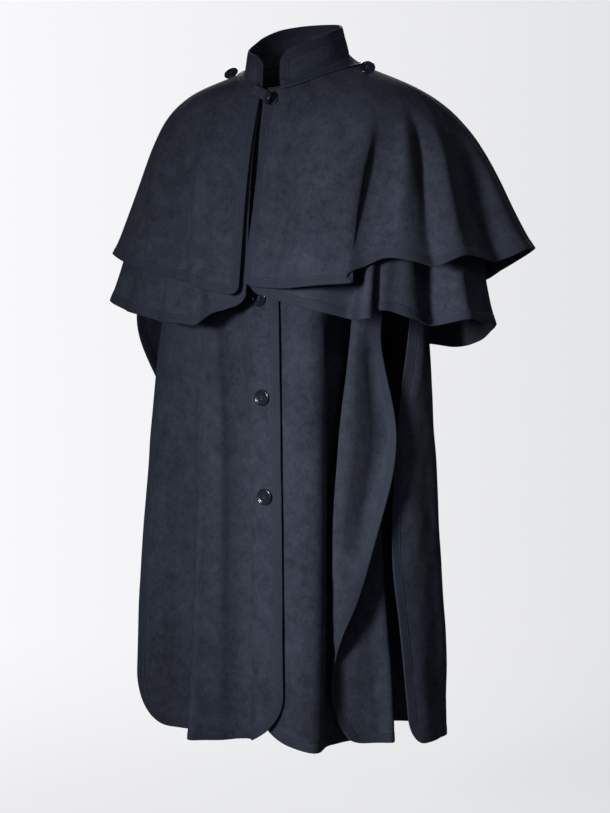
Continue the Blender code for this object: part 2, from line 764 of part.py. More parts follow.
def button(name, centre, facing, radius, finish):
    """Turned disc whose flat back lies just off the cloth."""
    across = facing.cross(Vector((0, 0, 1))).normalized()
    along = facing.cross(across).normalized()
    vertices = []
    for share, height in BUTTON_OUTLINE:
        for k in range(BUTTON_SIDES):
            turn = 2 * math.pi * k / BUTTON_SIDES
            spoke = across * math.cos(turn) + along * math.sin(turn)
            vertices.append((centre + spoke * radius * share + facing * height) * MM)
    back = len(vertices)
    vertices.append(centre * MM)
    vertices.append((centre + facing * BUTTON_OUTLINE[-1][1]) * MM)
    faces = []
    for k in range(BUTTON_SIDES):
        after = (k + 1) % BUTTON_SIDES
        for ring in range(len(BUTTON_OUTLINE) - 1):
            low, high = ring * BUTTON_SIDES, (ring + 1) * BUTTON_SIDES
            faces.append([low + k, low + after, high + after])
            faces.append([low + k, high + after, high + k])
        last = (len(BUTTON_OUTLINE) - 1) * BUTTON_SIDES
        faces.append([back, after, k])
        faces.append([back + 1, last + k, last + after])
    volume = sum(vertices[i].dot(vertices[j].cross(vertices[k])) for i, j, k in faces)
    if volume < 0:
        faces = [face[::-1] for face in faces]
    return add_object(name, vertices, faces, finish)


def seated(surface, centre, facing, radius, reach=30.0):
    """Where a button's back lies one seam gap off the highest cloth under it."""
    across = facing.cross(Vector((0, 0, 1))).normalized()
    along = facing.cross(across).normalized()
    highest = -reach
    for ring in (0.0, 0.4, 0.7, 1.0):
        for k in range(16):
            turn = math.pi * k / 8
            spoke = across * math.cos(turn) + along * math.sin(turn)
            start = centre + spoke * radius * ring + facing * reach
            distance = surface.ray_cast(start, -facing)[3]
            if distance is not None:
                highest = max(highest, reach - distance)
    return centre + facing * (highest + SEAM_GAP)


def on_sheet(sheet, across, down, x, z):
    """Place on an upright sheet with a given x and height, by Newton's steps from a start."""
    for _ in range(20):
        here = sheet.at(across, down)
        sideways = (sheet.at(across + 1, down) - sheet.at(across - 1, down)) / 2
        downwards = (sheet.at(across, down + 1) - sheet.at(across, down - 1)) / 2
        size = sideways.x * downwards.z - sideways.z * downwards.x
        off_x, off_z = x - here.x, z - here.z
        across += (off_x * downwards.z - off_z * downwards.x) / size
        down += (sideways.x * off_z - sideways.z * off_x) / size
    return across, down


def front_buttons(panel, finish):
    """Four buttons down the placket; the fifth, at the top, sits on the tab."""
    surface = panel.surface()
    for number in range(2, 6):
        steps_up = 5 - number
        z = LOWEST_BUTTON_Z + BUTTON_PITCH * steps_up
        x = LOWEST_BUTTON_X - BUTTON_DRIFT * steps_up
        place = on_sheet(panel.sheet, 30.0, -z, x, z)
        facing = panel.sheet.normal(*place) * panel.outside
        centre = seated(surface, panel.sheet.at(*place), facing, BUTTON_RADIUS)
        button(f"button_{number}", centre, facing, BUTTON_RADIUS, finish)
    on_tab = TAB_LINE[2] + TAB_FACING * (CLOTH / 2 + SEAM_GAP)
    button("button_1", on_tab, TAB_FACING, TOP_BUTTON_RADIUS, finish)


def shoulder_buttons(upper, finish):
    """The two buttons that hold the cape to the coat, one on each shoulder."""
    surface = upper.surface()
    for side, name in ((1, "shoulder_button_left"), (-1, "shoulder_button_right")):
        above = Vector((side * SHOULDER_BUTTON_X, SHOULDER_BUTTON_Y, 200))
        spot, facing = surface.ray_cast(above, Vector((0, 0, -1)))[:2]
        if facing.z < 0:
            facing = -facing
        centre = seated(surface, spot, facing, SHOULDER_BUTTON_RADIUS)
        button(name, centre, facing, SHOULDER_BUTTON_RADIUS, finish)


# ---- the coat ------------------------------------------------------------------------------

def build_coat():
    melton = finish_of("melton", MELTON_NAVY, 0.95)
    tape = finish_of("wool_tape", TAPE_NAVY, 0.9)
    plastic = finish_of("button_plastic", BUTTON_NAVY, 0.3)
    right, left, back = right_front_panel(), left_front_panel(), back_panel()
    upper = cape_panel(UPPER_CAPE, UPPER_NECK, 0.0)
    lower = cape_panel(LOWER_CAPE, LOWER_NECK, TIER_STEP)
    collar = collar_panel()
    named = (("right_front", right), ("left_front", left), ("back", back),
             ("upper_cape", upper), ("lower_cape", lower), ("collar", collar))
    for name, panel in named:
        cloth_panel(name, panel, melton)
        hidden_rows = 1 if name in ("collar", "lower_cape") else 0
        edge_binding(name + "_binding", panel, tape, hidden_rows)
    neckband(collar, upper, tape)
    neck_tab(melton)
    front_buttons(right, plastic)
    shoulder_buttons(upper, plastic)


build_coat()
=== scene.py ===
import math
from collections import namedtuple

import bpy
import numpy as np
from mathutils import Matrix, Vector


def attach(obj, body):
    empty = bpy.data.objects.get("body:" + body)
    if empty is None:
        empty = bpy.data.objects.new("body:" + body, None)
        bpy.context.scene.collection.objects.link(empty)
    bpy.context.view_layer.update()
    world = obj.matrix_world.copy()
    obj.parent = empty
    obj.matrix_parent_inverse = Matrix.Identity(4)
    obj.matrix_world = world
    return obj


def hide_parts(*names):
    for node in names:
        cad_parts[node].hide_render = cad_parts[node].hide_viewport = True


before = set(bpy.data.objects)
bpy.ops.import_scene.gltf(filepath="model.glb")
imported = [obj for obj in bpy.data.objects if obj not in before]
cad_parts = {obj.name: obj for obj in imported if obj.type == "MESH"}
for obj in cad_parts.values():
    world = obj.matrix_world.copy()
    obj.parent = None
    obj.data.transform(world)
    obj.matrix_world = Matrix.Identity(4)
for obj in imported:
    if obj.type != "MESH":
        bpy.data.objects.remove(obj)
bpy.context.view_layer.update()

# ---- Studio --------------------------------------------------------------------------------
# A pale floor that fades into a pale backdrop. One small bright lamp in front brings out the
# folds, weak ones at the side and in front soften them, and two behind light the back. The
# coat hangs at its wearer's height over the floor.
CAMERA_AZIMUTH = math.radians(33.0)
CAMERA_DISTANCE = 3.6
CAMERA_ASIDE = 0.0118   # the camera stands this far to the right of the line to the neck
CAMERA_HEIGHT = -0.246
CAMERA_DOWN = math.radians(5.16)
CAMERA_LENS = 94.9
AMBIENT = 0.06          # light of the backdrop on the coat, as a share of how bright it looks
BACKDROP_BRIGHT = (0.945, 0.945, 0.965)
BACKDROP_DIM = (0.76, 0.765, 0.78)
BACKDROP_FADE = 3.2     # how fast it dims towards the right,
BACKDROP_MIDDLE = 0.45  # and the share of that in the middle of the view
FLOOR_Z = -1.46
FLOOR_RADIUS = 2.6
FLOOR_SIDES = 96
FLOOR_SHOWS = 0.25      # the floor is mostly lost in the light of the backdrop
FLOOR_FADE = 1.6        # how steeply it fades out towards its rim
FLOOR_COLOUR = (0.82, 0.825, 0.84, 1.0)


def table(columns, *rows):
    """Rows of a table whose columns are named."""
    row = namedtuple("Row", columns)
    return [row(*values) for values in rows]


def add_object(name, data):
    """Put a camera, a lamp or a mesh in the scene."""
    thing = bpy.data.objects.new(name, data)
    bpy.context.scene.collection.objects.link(thing)
    return thing


camera = add_object("camera", bpy.data.cameras.new("camera"))
camera.data.lens = CAMERA_LENS
camera.data.sensor_width = 36.0
camera.location = (
    math.sin(CAMERA_AZIMUTH) * CAMERA_DISTANCE + math.cos(CAMERA_AZIMUTH) * CAMERA_ASIDE,
    -math.cos(CAMERA_AZIMUTH) * CAMERA_DISTANCE + math.sin(CAMERA_AZIMUTH) * CAMERA_ASIDE,
    CAMERA_HEIGHT)
camera.rotation_euler = (math.pi / 2 - CAMERA_DOWN, 0.0, CAMERA_AZIMUTH)
bpy.context.scene.camera = camera
bpy.context.scene.view_settings.view_transform = "Standard"

LAMPS = table(
    "name place aim size spread power colour",
    ("key_lamp", (-0.25, -3.94, 0.1), (0.50, -0.1, -0.72), 0.7, 32.0, 13.4, (1.0, 0.99, 0.98)),
    ("side_lamp", (3.0, -1.7, 1.3), (0.3, -0.1, 0.0), 1.2, 24.0, 0.4, (0.97, 0.98, 1.0)),
    ("fill_lamp", (1.4, -4.0, -0.2), (0.0, 0.0, -0.5), 1.4, 50.0, 0.8, (0.97, 0.98, 1.0)),
    ("far_lamp", (2.6, 3.2, 1.4), (0.0, 0.0, -0.5), 2.0, 120.0, 9.0, (0.97, 0.98, 1.0)),
    ("back_lamp", (-2.4, 3.4, 1.0), (0.0, 0.0, -0.5), 2.0, 120.0, 90.0, (0.97, 0.98, 1.0)),
)
for lamp in LAMPS:
    light = bpy.data.lights.new(lamp.name, "AREA")
    light.size = lamp.size
    light.energy = lamp.power
    light.color = lamp.colour
    light.spread = math.radians(lamp.spread)
    holder = add_object(lamp.name, light)
    holder.location = lamp.place
    reach = Vector(lamp.aim) - Vector(lamp.place)
    holder.rotation_euler = reach.to_track_quat("-Z", "Y").to_euler()


class Wire:
    """A socket in a node tree. Arithmetic on it adds the Math nodes that do the sum."""

    def __init__(self, tree, socket):
        self.tree, self.socket = tree, socket

    def work(self, operation, *values):
        return add_node(self.tree, "ShaderNodeMath", {"operation": operation},
                        dict(enumerate(values)))

    def __add__(self, other):
        return self.work("ADD", self, other)

    def __radd__(self, other):
        return self.work("ADD", other, self)

    def __sub__(self, other):
        return self.work("SUBTRACT", self, other)

    def __rsub__(self, other):
        return self.work("SUBTRACT", other, self)

    def __mul__(self, other):
        return self.work("MULTIPLY", self, other)

    def __truediv__(self, other):
        return self.work("DIVIDE", self, other)

    def sine(self):
        return self.work("SINE", self)

    def clamped(self):
        return self.work("MINIMUM", self.work("MAXIMUM", self, 0.0), 1.0)


def plug(node, sockets):
    """Give each named socket of a node its value, or its link where that is a Wire."""
    for key, value in sockets.items():
        if isinstance(value, Wire):
            value.tree.links.new(value.socket, node.inputs[key])
        else:
            node.inputs[key].default_value = value


def add_node(tree, kind, settings=None, sockets=None, output=0):
    """Add a node: first its settings, then a value or a Wire for each socket named."""
    node = tree.nodes.new(kind)
    for name, value in (settings or {}).items():
        setattr(node, name, value)
    plug(node, sockets or {})
    return Wire(tree, node.outputs[output])


def new_material(name, **constants):
    """A material, its Principled BSDF, and the place on the piece that it colours.

    The constants are values for the BSDF's sockets, whose names are in lower case here.
    """
    material = bpy.data.materials.new(name)
    material.use_nodes = True
    shader = material.node_tree.nodes["Principled BSDF"]
    for socket in shader.inputs:
        word = socket.name.lower().replace(" ", "_")
        if word in constants:
            socket.default_value = constants[word]
    place = add_node(material.node_tree, "ShaderNodeTexCoord", output="Object")
    return material, shader, place


def mixed(share, first, second):
    """Colour between two, by a share that varies from place to place."""
    ends = [end if isinstance(end, Wire) else (*end, 1.0) for end in (first, second)]
    return add_node(share.tree, "ShaderNodeMix", {"data_type": "RGBA"},
                    {"Factor": share, 6: ends[0], 7: ends[1]}, output=2)


world = bpy.data.worlds.new("studio")
bpy.context.scene.world = world
world.use_nodes = True
tree = world.node_tree
tree.nodes.clear()
gaze = add_node(tree, "ShaderNodeTexCoord")
rightward = (math.cos(CAMERA_AZIMUTH), math.sin(CAMERA_AZIMUTH), 0.0)
aside = add_node(tree, "ShaderNodeVectorMath", {"operation": "DOT_PRODUCT"},
                 {0: gaze, 1: rightward}, output="Value")
seen = add_node(tree, "ShaderNodeLightPath", output="Is Camera Ray")
strength = AMBIENT + seen * (1.0 - AMBIENT)
dimming = (aside * BACKDROP_FADE + BACKDROP_MIDDLE).clamped()
paper = mixed(dimming, BACKDROP_BRIGHT, BACKDROP_DIM)
air = add_node(tree, "ShaderNodeBackground", {}, {"Color": paper, "Strength": strength})
plug(tree.nodes.new("ShaderNodeOutputWorld"), {"Surface": air})

floor_finish, shader, place = new_material("floor_paper", roughness=0.9,
                                           base_color=FLOOR_COLOUR)
level_place = add_node(place.tree, "ShaderNodeVectorMath", {"operation": "MULTIPLY"},
                       {0: place, 1: (1.0, 1.0, 0.0)})
away = add_node(place.tree, "ShaderNodeVectorMath", {"operation": "LENGTH"},
                {0: level_place}, output="Value")
fade = ((1.0 - away / FLOOR_RADIUS).clamped() * FLOOR_FADE).clamped()
plug(shader, {"Alpha": fade * FLOOR_SHOWS})
turns = [2 * math.pi * k / FLOOR_SIDES for k in range(FLOOR_SIDES)]
rim = [(FLOOR_RADIUS * math.cos(turn), FLOOR_RADIUS * math.sin(turn), FLOOR_Z) for turn in turns]
floor_mesh = bpy.data.meshes.new("floor")
floor_mesh.from_pydata(rim, [], [tuple(range(FLOOR_SIDES))])
floor_mesh.materials.append(floor_finish)
add_object("floor", floor_mesh)


# ---- Right front ---------------------------------------------------------------------------
# The wearer's right half of the front, one piece of thick felted melton from the neck and
# shoulder seam to a long rounded hem. It laps over the left half and is open down its side.
MM = 0.001
CLOTH = 2.0             # thickness of the melton
SEAM_GAP = 0.3          # left between two pieces that are sewn or lie together
NECK_RADIUS = 88.5      # neck seam of the body panels
LAP = 17.0              # degrees that each front runs past the centre line at the neck
SHOULDER_TIP = 195.0    # end of the shoulder seam, from the middle of the neck
SEAM_DROP = 18.0        # and this far under the line of the figure's shoulders
CELL = 6.0              # size of the cells that a panel is divided into
CORNER_STEPS = 9        # columns round a corner
LEVEL_ROWS = 0.93       # share of the shortest column down to which the rows are level
LEVEL_SAMPLES = 13      # places at which the distance from level to level is measured
WIDTH_SAMPLES = 81      # and the lower edge's length
CORNER_SAMPLES = 60     # places along an edge before they are evened out: round a corner,
SIDE_SAMPLES = 600      # down a side
HEM_SAMPLES = 900       # and along the hem
NECK_STEPS = 49         # places along a panel's neck seam
SEAM_REACH = 1.0        # a point this near the shoulder seam's plane is on the seam
SEAM_SPARE = 0.05       # a panel stands this much more than half the gap off that plane
SEAM_IN = 0.5           # the seam's upper end lies this far inside the neck seam
TAPER = 3               # a crease rises and runs out over a third of its length at each end
HELD = 0.4              # creases and slack begin at this share of a panel's still depth


def knot_slopes(points, gaps):
    """Slopes at the knots of the smooth curve through points with those gaps between them."""
    chords = np.diff(points, axis=0) / gaps
    slopes = np.concatenate([chords[:1], chords])
    slopes[1:-1] = (chords[:-1] * gaps[1:] + chords[1:] * gaps[:-1]) / (gaps[1:] + gaps[:-1])
    return slopes


def between(start, leaving, end, arriving, gap, t):
    """Point at share t of the way on a smooth curve from one point and slope to another."""
    return (start * (1 + 2 * t) * (1 - t) ** 2 + leaving * gap * t * (1 - t) ** 2
            + end * t * t * (3 - 2 * t) - arriving * gap * t * t * (1 - t))


def smooth(points, knots, places):
    """Read the smooth curve through points, each at its knot, at an array of places."""
    points, knots = np.asarray(points, float), np.asarray(knots, float)
    flat = points.reshape(len(points), -1)
    gaps = np.diff(knots)[:, None]
    slopes = knot_slopes(flat, gaps)
    span = np.clip(np.searchsorted(knots, places, side="right") - 1, 0, len(gaps) - 1)
    t = (np.asarray(places)[:, None] - knots[span][:, None]) / gaps[span]
    value = between(flat[span], slopes[span], flat[span + 1], slopes[span + 1], gaps[span], t)
    return value.reshape((len(value),) + points.shape[1:])


def running_lengths(points):
    """Distance from the first point to each point, along them."""
    steps = np.linalg.norm(np.diff(points, axis=0), axis=1)
    return np.concatenate([[0.0], np.cumsum(steps)])


def unit(vectors):
    return vectors / np.maximum(np.linalg.norm(vectors, axis=-1, keepdims=True), 1e-9)


def chain_level(points):
    """Level that follows a chain of points by the share of its length."""
    points = np.asarray(points, float)
    lengths = running_lengths(points)
    return lambda share: np.stack(
        [np.interp(share * lengths[-1], lengths, points[:, k]) for k in range(3)], axis=1)


def plan_levels(rows):
    """Levels from table rows: a height, then a plan point for each named column.

    A column keeps the same share across on every level, so a fold runs down its columns.
    """
    sections = [np.array([(x, y, row.z) for x, y in row[1:]], float) for row in rows]
    lengths = [running_lengths(points) for points in sections]
    shares = np.mean([line / line[-1] for line in lengths], axis=0)

    def level_of(points, line):
        return lambda share: smooth(points, line, smooth(line, shares, share))

    return [level_of(points, line) for points, line in zip(sections, lengths)]


Corner = namedtuple("Corner", "width height")
# A crease: where it starts across, how far it leans over its run, the depths down
# at which it starts and ends, its half width, and its height, below 0 for a trough.
CREASE = "across lean start end width height"
# Slack of a heavy cloth that nothing presses flat: waves with their lengths both ways.
SLACK = table(
    "across down turn height",
    (131, 420, 0.3, 0.55), (83, -310, 1.9, 0.40), (57, 260, 4.1, 0.28), (211, -150, 2.6, 0.45),
    (39, 97, 5.2, 0.16), (29, -71, 0.9, 0.10),
)


class Cloth:
    """One cut panel on a smooth sheet through its levels, with its creases and its slack.

    A place on it is a distance across, in millimetres of its lower edge, and one down.
    """

    def __init__(self, levels, first, last, outside, creases=(), slack=1.0, still=90.0):
        samples = np.linspace(0, 1, LEVEL_SAMPLES)
        rows = [level(samples) for level in levels]
        means = [np.linalg.norm(b - a, axis=1).mean() for a, b in zip(rows, rows[1:])]
        self.levels = levels
        self.knots = np.concatenate([[0.0], np.cumsum(means)])
        self.length = self.knots[-1]
        self.width = running_lengths(levels[-1](np.linspace(0, 1, WIDTH_SAMPLES)))[-1]
        self.first, self.last, self.outside = first, last, outside
        self.creases, self.slack, self.still = creases, slack, still

    def plain(self, across, down):
        """Points of the sheet itself."""
        share = np.clip(across / self.width, 0, 1)
        down = np.clip(down, 0, self.length)
        stack = np.stack([level(share) for level in self.levels])
        gaps = np.diff(self.knots)[:, None, None]
        slopes = knot_slopes(stack, gaps)
        span = np.clip(np.searchsorted(self.knots, down, side="right") - 1, 0, len(gaps) - 1)
        each = np.arange(len(down))
        gap = gaps[span, 0]
        t = ((down - self.knots[span]) / gap[:, 0])[:, None]
        return between(stack[span, each], slopes[span, each], stack[span + 1, each],
                       slopes[span + 1, each], gap, t)

    def relief(self, across, down):
        """How far creases and slack lift the cloth off its sheet."""
        lift = np.zeros_like(across)
        for wave in SLACK:
            turn = 2 * math.pi * (across / wave.across + down / wave.down) + wave.turn
            lift += wave.height * self.slack * np.sin(turn)
        for crease in self.creases:
            run = (down - crease.start) / (crease.end - crease.start)
            line = crease.across + crease.lean * run
            rise = np.clip(run * TAPER, 0, 1) * np.clip((1 - run) * TAPER, 0, 1)
            shape = np.exp(-((across - line) / crease.width) ** 2)
            lift += crease.height * shape * rise * rise * (3 - 2 * rise)
        free = np.clip(down / self.still - HELD, 0, 1)
        return lift * free * free * (3 - 2 * free)

    def partials(self, reader, across, down, step=1.5):
        """How a reader's points move for each millimetre across and each one down."""
        left, right = np.maximum(across - step, 0), np.minimum(across + step, self.width)
        upper, lower = np.maximum(down - step, 0), np.minimum(down + step, self.length)
        sideways = (reader(right, down) - reader(left, down)) / (right - left)[:, None]
        downwards = (reader(across, lower) - reader(across, upper)) / (lower - upper)[:, None]
        return sideways, downwards

    def at(self, across, down):
        """Points in the middle of the creased cloth."""
        sideways, downwards = self.partials(self.plain, across, down)
        facing = unit(np.cross(sideways, downwards)) * self.outside
        return self.plain(across, down) + facing * self.relief(across, down)[:, None]

    def facing(self, across, down):
        """Unit normals of the creased cloth, out of its right side."""
        sideways, downwards = self.partials(self.at, across, down)
        return unit(np.cross(sideways, downwards)) * self.outside

    def lie(self, across, down):
        """Both of these at once."""
        return self.at(across, down), self.facing(across, down)

    def cut(self, across):
        """Depth of the lower edge, raised by the rounded corners."""
        depth = np.full_like(across, self.length)
        for corner, reach in ((self.first, across), (self.last, self.width - across)):
            share = np.clip(1 - reach / corner.width, 0, 1)
            depth -= corner.height * (1 - np.sqrt(1 - share * share))
        return depth

    def hem_turns(self, count):
        """So many places across round the first corner, and as many round the last one."""
        turns = np.linspace(0, math.pi / 2, count)
        return (self.first.width * (1 - np.cos(turns)),
                self.width - self.last.width * (1 - np.cos(turns[::-1])))

    def grid(self, cell):
        """Places of the whole panel as rows of columns, level until the corners begin."""
        start, end = self.hem_turns(CORNER_STEPS)
        count = max(4, int((end[0] - start[-1]) / cell))
        columns = np.concatenate([start, np.linspace(start[-1], end[0], count + 2)[1:-1], end])
        bottoms = self.cut(columns)
        shares = np.linspace(0, 1, int(self.length / cell) + 1)[:, None]
        full = bottoms.max()
        level_share = LEVEL_ROWS * bottoms.min() / full
        rest = (shares - level_share) / (1 - level_share)
        down = np.where(shares <= level_share, full * shares,
                        full * level_share + (bottoms - full * level_share) * rest)
        return np.broadcast_to(columns, down.shape), down

    def edge(self, top=0.0, spacing=5.0):
        """Evenly spaced places along the free edge: down one side, round, and up the other."""
        start, end = self.hem_turns(CORNER_SAMPLES)
        hem = np.linspace(start[-1], end[0], HEM_SAMPLES)
        bottom = np.concatenate([start, hem[1:-1], end])
        side = np.linspace(top, self.cut(bottom[:1])[0], SIDE_SAMPLES)
        back = np.linspace(self.cut(bottom[-1:])[0], top, SIDE_SAMPLES)
        across = np.concatenate([np.zeros(SIDE_SAMPLES), bottom[1:-1],
                                 np.full(SIDE_SAMPLES, self.width)])
        down = np.concatenate([side, self.cut(bottom[1:-1]), back])
        lengths = running_lengths(self.at(across, down))
        even = np.linspace(0, lengths[-1], int(lengths[-1] / spacing) + 1)
        return np.interp(even, lengths, across), np.interp(even, lengths, down), even


def upright_on_seam(points, facing):
    """On the shoulder seam both panels' edges stand upright, so that they lie face to face."""
    level = facing * np.array([1.0, 0.0, 1.0])
    return np.where(np.abs(points[:, 1:2]) < SEAM_REACH, unit(level), facing)


def add_mesh(name, vertices, faces, material):
    """A smooth-shaded mesh object of one material, from lists in metres."""
    mesh = bpy.data.meshes.new(name)
    mesh.from_pydata(vertices, [], faces)
    mesh.shade_smooth()
    mesh.materials.append(material)
    return add_object(name, mesh)


def add_piece(name, vertices, faces, material, corners=None, ends=()):
    """Mesh object from arrays in millimetres, its faces outwards, with any UV for each point.

    The faces are quads, and the ends that close a tube are triangles.
    """
    vertices = np.asarray(vertices) * MM
    a, b, c, d = (vertices[faces[:, k]] for k in range(4))
    volume = np.einsum("ij,ij->", a, np.cross(b, c)) + np.einsum("ij,ij->", a, np.cross(c, d))
    loops = faces.tolist() + list(ends)
    if volume < 0:
        loops = [loop[::-1] for loop in loops]
    piece = add_mesh(name, vertices.tolist(), loops, material)
    if corners is not None:
        layer = piece.data.uv_layers.new(name="UVMap")
        layer.data.foreach_set("uv", corners[np.concatenate(loops)].astype(np.float32).ravel())
    return piece


def grid_faces(rows, columns, wrap=False):
    """Corner numbers of the cells of a grid; wrap joins the last column to the first."""
    numbers = np.arange(rows * columns).reshape(rows, columns)
    if wrap:
        numbers = np.hstack([numbers, numbers[:, :1]])
    return np.stack([numbers[:-1, :-1], numbers[:-1, 1:], numbers[1:, 1:], numbers[1:, :-1]],
                    axis=-1).reshape(-1, 4)


def shell(name, middle, facing, thickness, material, corners=None):
    """Closed wall of even thickness about a grid of points, with a rim round its border."""
    rows, columns = middle.shape[:2]
    half = thickness / 2
    vertices = np.concatenate([(middle + facing * half).reshape(-1, 3),
                               (middle - facing * half).reshape(-1, 3)])
    outer = grid_faces(rows, columns)
    count = rows * columns
    numbers = np.arange(count).reshape(rows, columns)
    border = np.concatenate([numbers[0, :-1], numbers[:-1, -1], numbers[-1, :0:-1],
                             numbers[:0:-1, 0]])
    after = np.roll(border, -1)
    side = np.stack([after, border, border + count, after + count], axis=-1)
    faces = np.concatenate([outer, outer[:, ::-1] + count, side])
    return add_piece(name, vertices, faces, material, corners)


def stand_for(piece, node):
    """A piece that rides on the coat's one body and replaces a node."""
    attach(piece, "root")
    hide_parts(node)


def cloth_area(middle):
    """Area of a grid of points in square metres, and its longest row and column in metres."""
    across = np.diff(middle, axis=1)
    down = np.diff(middle, axis=0)
    cells = np.linalg.norm(np.cross(across[:-1], down[:, :-1]), axis=-1)
    width = np.linalg.norm(across, axis=-1).sum(axis=1).max()
    length = np.linalg.norm(down, axis=-1).sum(axis=0).max()
    return cells.sum() * MM * MM, (width * MM, length * MM)


def noise_at(place, scale, detail=2.0, roughness=0.55, stretch=(1.0, 1.0, 1.0)):
    """Noise of so many features a metre, longer along an axis where stretch is under 1."""
    turned = add_node(place.tree, "ShaderNodeMapping", {}, {"Vector": place, "Scale": stretch})
    return add_node(place.tree, "ShaderNodeTexNoise", {},
                    {"Vector": turned, "Scale": scale, "Detail": detail,
                     "Roughness": roughness})


def bump(strength, distance, height):
    """Normals of a surface that is raised by a height from 0 to 1 over that distance."""
    return add_node(height.tree, "ShaderNodeBump", {},
                    {"Strength": strength, "Distance": distance, "Height": height})


# Navy melton: dense wool felt with a short raised nap, flecked by lighter fibres.
MELTON_DEEP = (0.0095, 0.0116, 0.0182)
MELTON_WORN = (0.0350, 0.0410, 0.0585)
MELTON_LINT = (0.055, 0.062, 0.08)

melton, shader, place = new_material("navy_melton", sheen_weight=0.02, sheen_roughness=0.5,
                                     sheen_tint=(0.50, 0.60, 0.80, 1.0), specular_ior_level=0.03)
nap = noise_at(place, 950.0, 3.0, 0.7)
fibres = noise_at(place, 420.0, 2.0, 0.6, (1.0, 1.0, 0.35))
flecks = noise_at(place, 190.0, 1.0, 0.5)
pile = noise_at(place, 150.0, 4.0, 0.72)
clouds = noise_at(place, 9.0, 3.0, 0.55)
blotches = noise_at(place, 42.0, 3.0, 0.62)
tone = nap * 0.3 + fibres * 0.3 + pile * 0.9 + blotches * 0.9 + clouds * 0.6 - 1.0
ground = mixed(tone.clamped(), MELTON_DEEP, MELTON_WORN)
lint = ((flecks - 0.66) * 6.0).clamped() * ((nap - 0.5) * 4.0).clamped() * 0.5
plug(shader, {"Base Color": mixed(lint, ground, MELTON_LINT),
              "Roughness": (0.82 + nap * 0.16).clamped(),
              "Normal": bump(0.25, 0.00035, nap * 0.5 + fibres * 0.5 + pile * 0.9)})

# The figure that the coat is cut for, alike on both sides. Angle 0 is the centre front, 180
# the centre back.
FIGURE = table(
    "angle neck_z shoulder_radius shoulder_z",
    (0, -50, 112, -125), (30, -43, 132, -90), (60, -27, 168, -54), (90, -11, 200, -46),
    (120, -3, 203, -44), (150, 4, 172, -36), (180, 6, 142, -30),
)


def figure(column, angles):
    """One column of the figure at an array of angles, alike on both sides."""
    turned = np.abs((np.asarray(angles, float) + 180) % 360 - 180)
    return smooth([getattr(row, column) for row in FIGURE], [row.angle for row in FIGURE], turned)


def polar(angles, radius, height):
    """Points at angles from the centre front, growing towards the wearer's left."""
    turns = np.radians(angles)
    radius = np.broadcast_to(radius, turns.shape)
    height = np.broadcast_to(height, turns.shape)
    return np.stack([radius * np.sin(turns), -radius * np.cos(turns), height], axis=-1)


def neck_arc(start, end, radius):
    """Neck seam between two angles; radius is a function of the angles."""
    angles = np.linspace(start, end, NECK_STEPS)
    return polar(angles, radius(angles), figure("neck_z", angles))


def shoulder_seam(side, behind):
    """Corner at the neck and tip of the shoulder seam, in front of or behind its plane."""
    y = (SEAM_GAP / 2 + SEAM_SPARE) * behind
    drop = figure("shoulder_z", [90])[0] - SEAM_DROP
    return np.array([(side * (NECK_RADIUS - SEAM_IN), y, figure("neck_z", [90])[0]),
                     (side * SHOULDER_TIP, y, drop)])


RIGHT_FRONT = table(
    "z edge placket valley ridge behind_ridge side side_edge",
    (-180, (28, -104), (-4, -106), (-60, -104), (-105, -98), (-150, -82), (-190, -55),
     (-215, -30)),
    (-430, (28, -100), (-4, -104), (-88, -88), (-117, -100), (-137, -84), (-195, -68),
     (-252, -40)),
    (-620, (33, -103), (0, -107), (-79, -84), (-125, -105), (-148, -76), (-210, -70),
     (-274, -52)),
    (-820, (36, -104), (4, -110), (-80, -79), (-135, -111), (-158, -66), (-222, -70),
     (-284, -68)),
    (-1000, (37, -103), (6, -110), (-82, -75), (-143, -114), (-170, -58), (-228, -66),
     (-286, -78)),
    (-1138, (37, -101), (6, -109), (-84, -72), (-150, -116), (-176, -53), (-230, -62),
     (-287, -82)),
)
RIGHT_FRONT_CREASES = table(
    CREASE,
    (40, 8, 640, 1190, 12, 1.6), (74, -6, 380, 1150, 15, 2.4), (60, 2, 300, 1250, 18, 3.0),
    (114, 0, 260, 1300, 23, -27.0), (158, -2, 320, 1300, 20, 13.0), (193, 2, 300, 1280, 9, 5.0),
    (214, 4, 300, 1260, 17, -12.0), (262, -8, 340, 1260, 24, 7.0),
    (312, 10, 380, 1260, 19, -10.0), (346, -10, 300, 1100, 18, 4.0),
    (399, 0, 420, 1250, 34, -7.0),
)
FRONT_CORNER = Corner(150, 95)      # long round at the centre front hem
SIDE_CORNER = Corner(78, 100)       # side corner of the fronts

neck = neck_arc(LAP, -90, lambda angles: np.full_like(angles, NECK_RADIUS))
right_top = chain_level(np.vstack([neck[:-1], shoulder_seam(-1, -1)]))
right_front = Cloth([right_top] + plan_levels(RIGHT_FRONT), FRONT_CORNER, SIDE_CORNER, 1,
                    RIGHT_FRONT_CREASES, slack=0.8)


def panel_piece(node, cloth, seam=None, cell=CELL):
    """The wall of a panel in its node's place, with its flat area and size."""
    across, down = cloth.grid(cell)
    shape = across.shape
    middle, facing = cloth.lie(across.ravel(), down.ravel())
    if seam:
        top = slice(0, shape[1])
        facing[top] = seam(middle[top], facing[top])
    middle, facing = middle.reshape(*shape, 3), facing.reshape(*shape, 3)
    piece = shell(node + "_cloth", middle, facing, CLOTH, melton)
    stand_for(piece, node)
    area, flat = cloth_area(middle)
    return piece, area, flat


right_cloth, right_area, right_flat = panel_piece("right_front", right_front, upright_on_seam)


# ---- Binding of the right front, and how every binding is made ------------------------------
# Wool twill tape folded over the raw edge, 15 mm deep on each face, and sewn down by one row
# of stitches near its inner fold. It rolls slightly between the stitches and the edge.
TAPE_WIDTH = 15.0
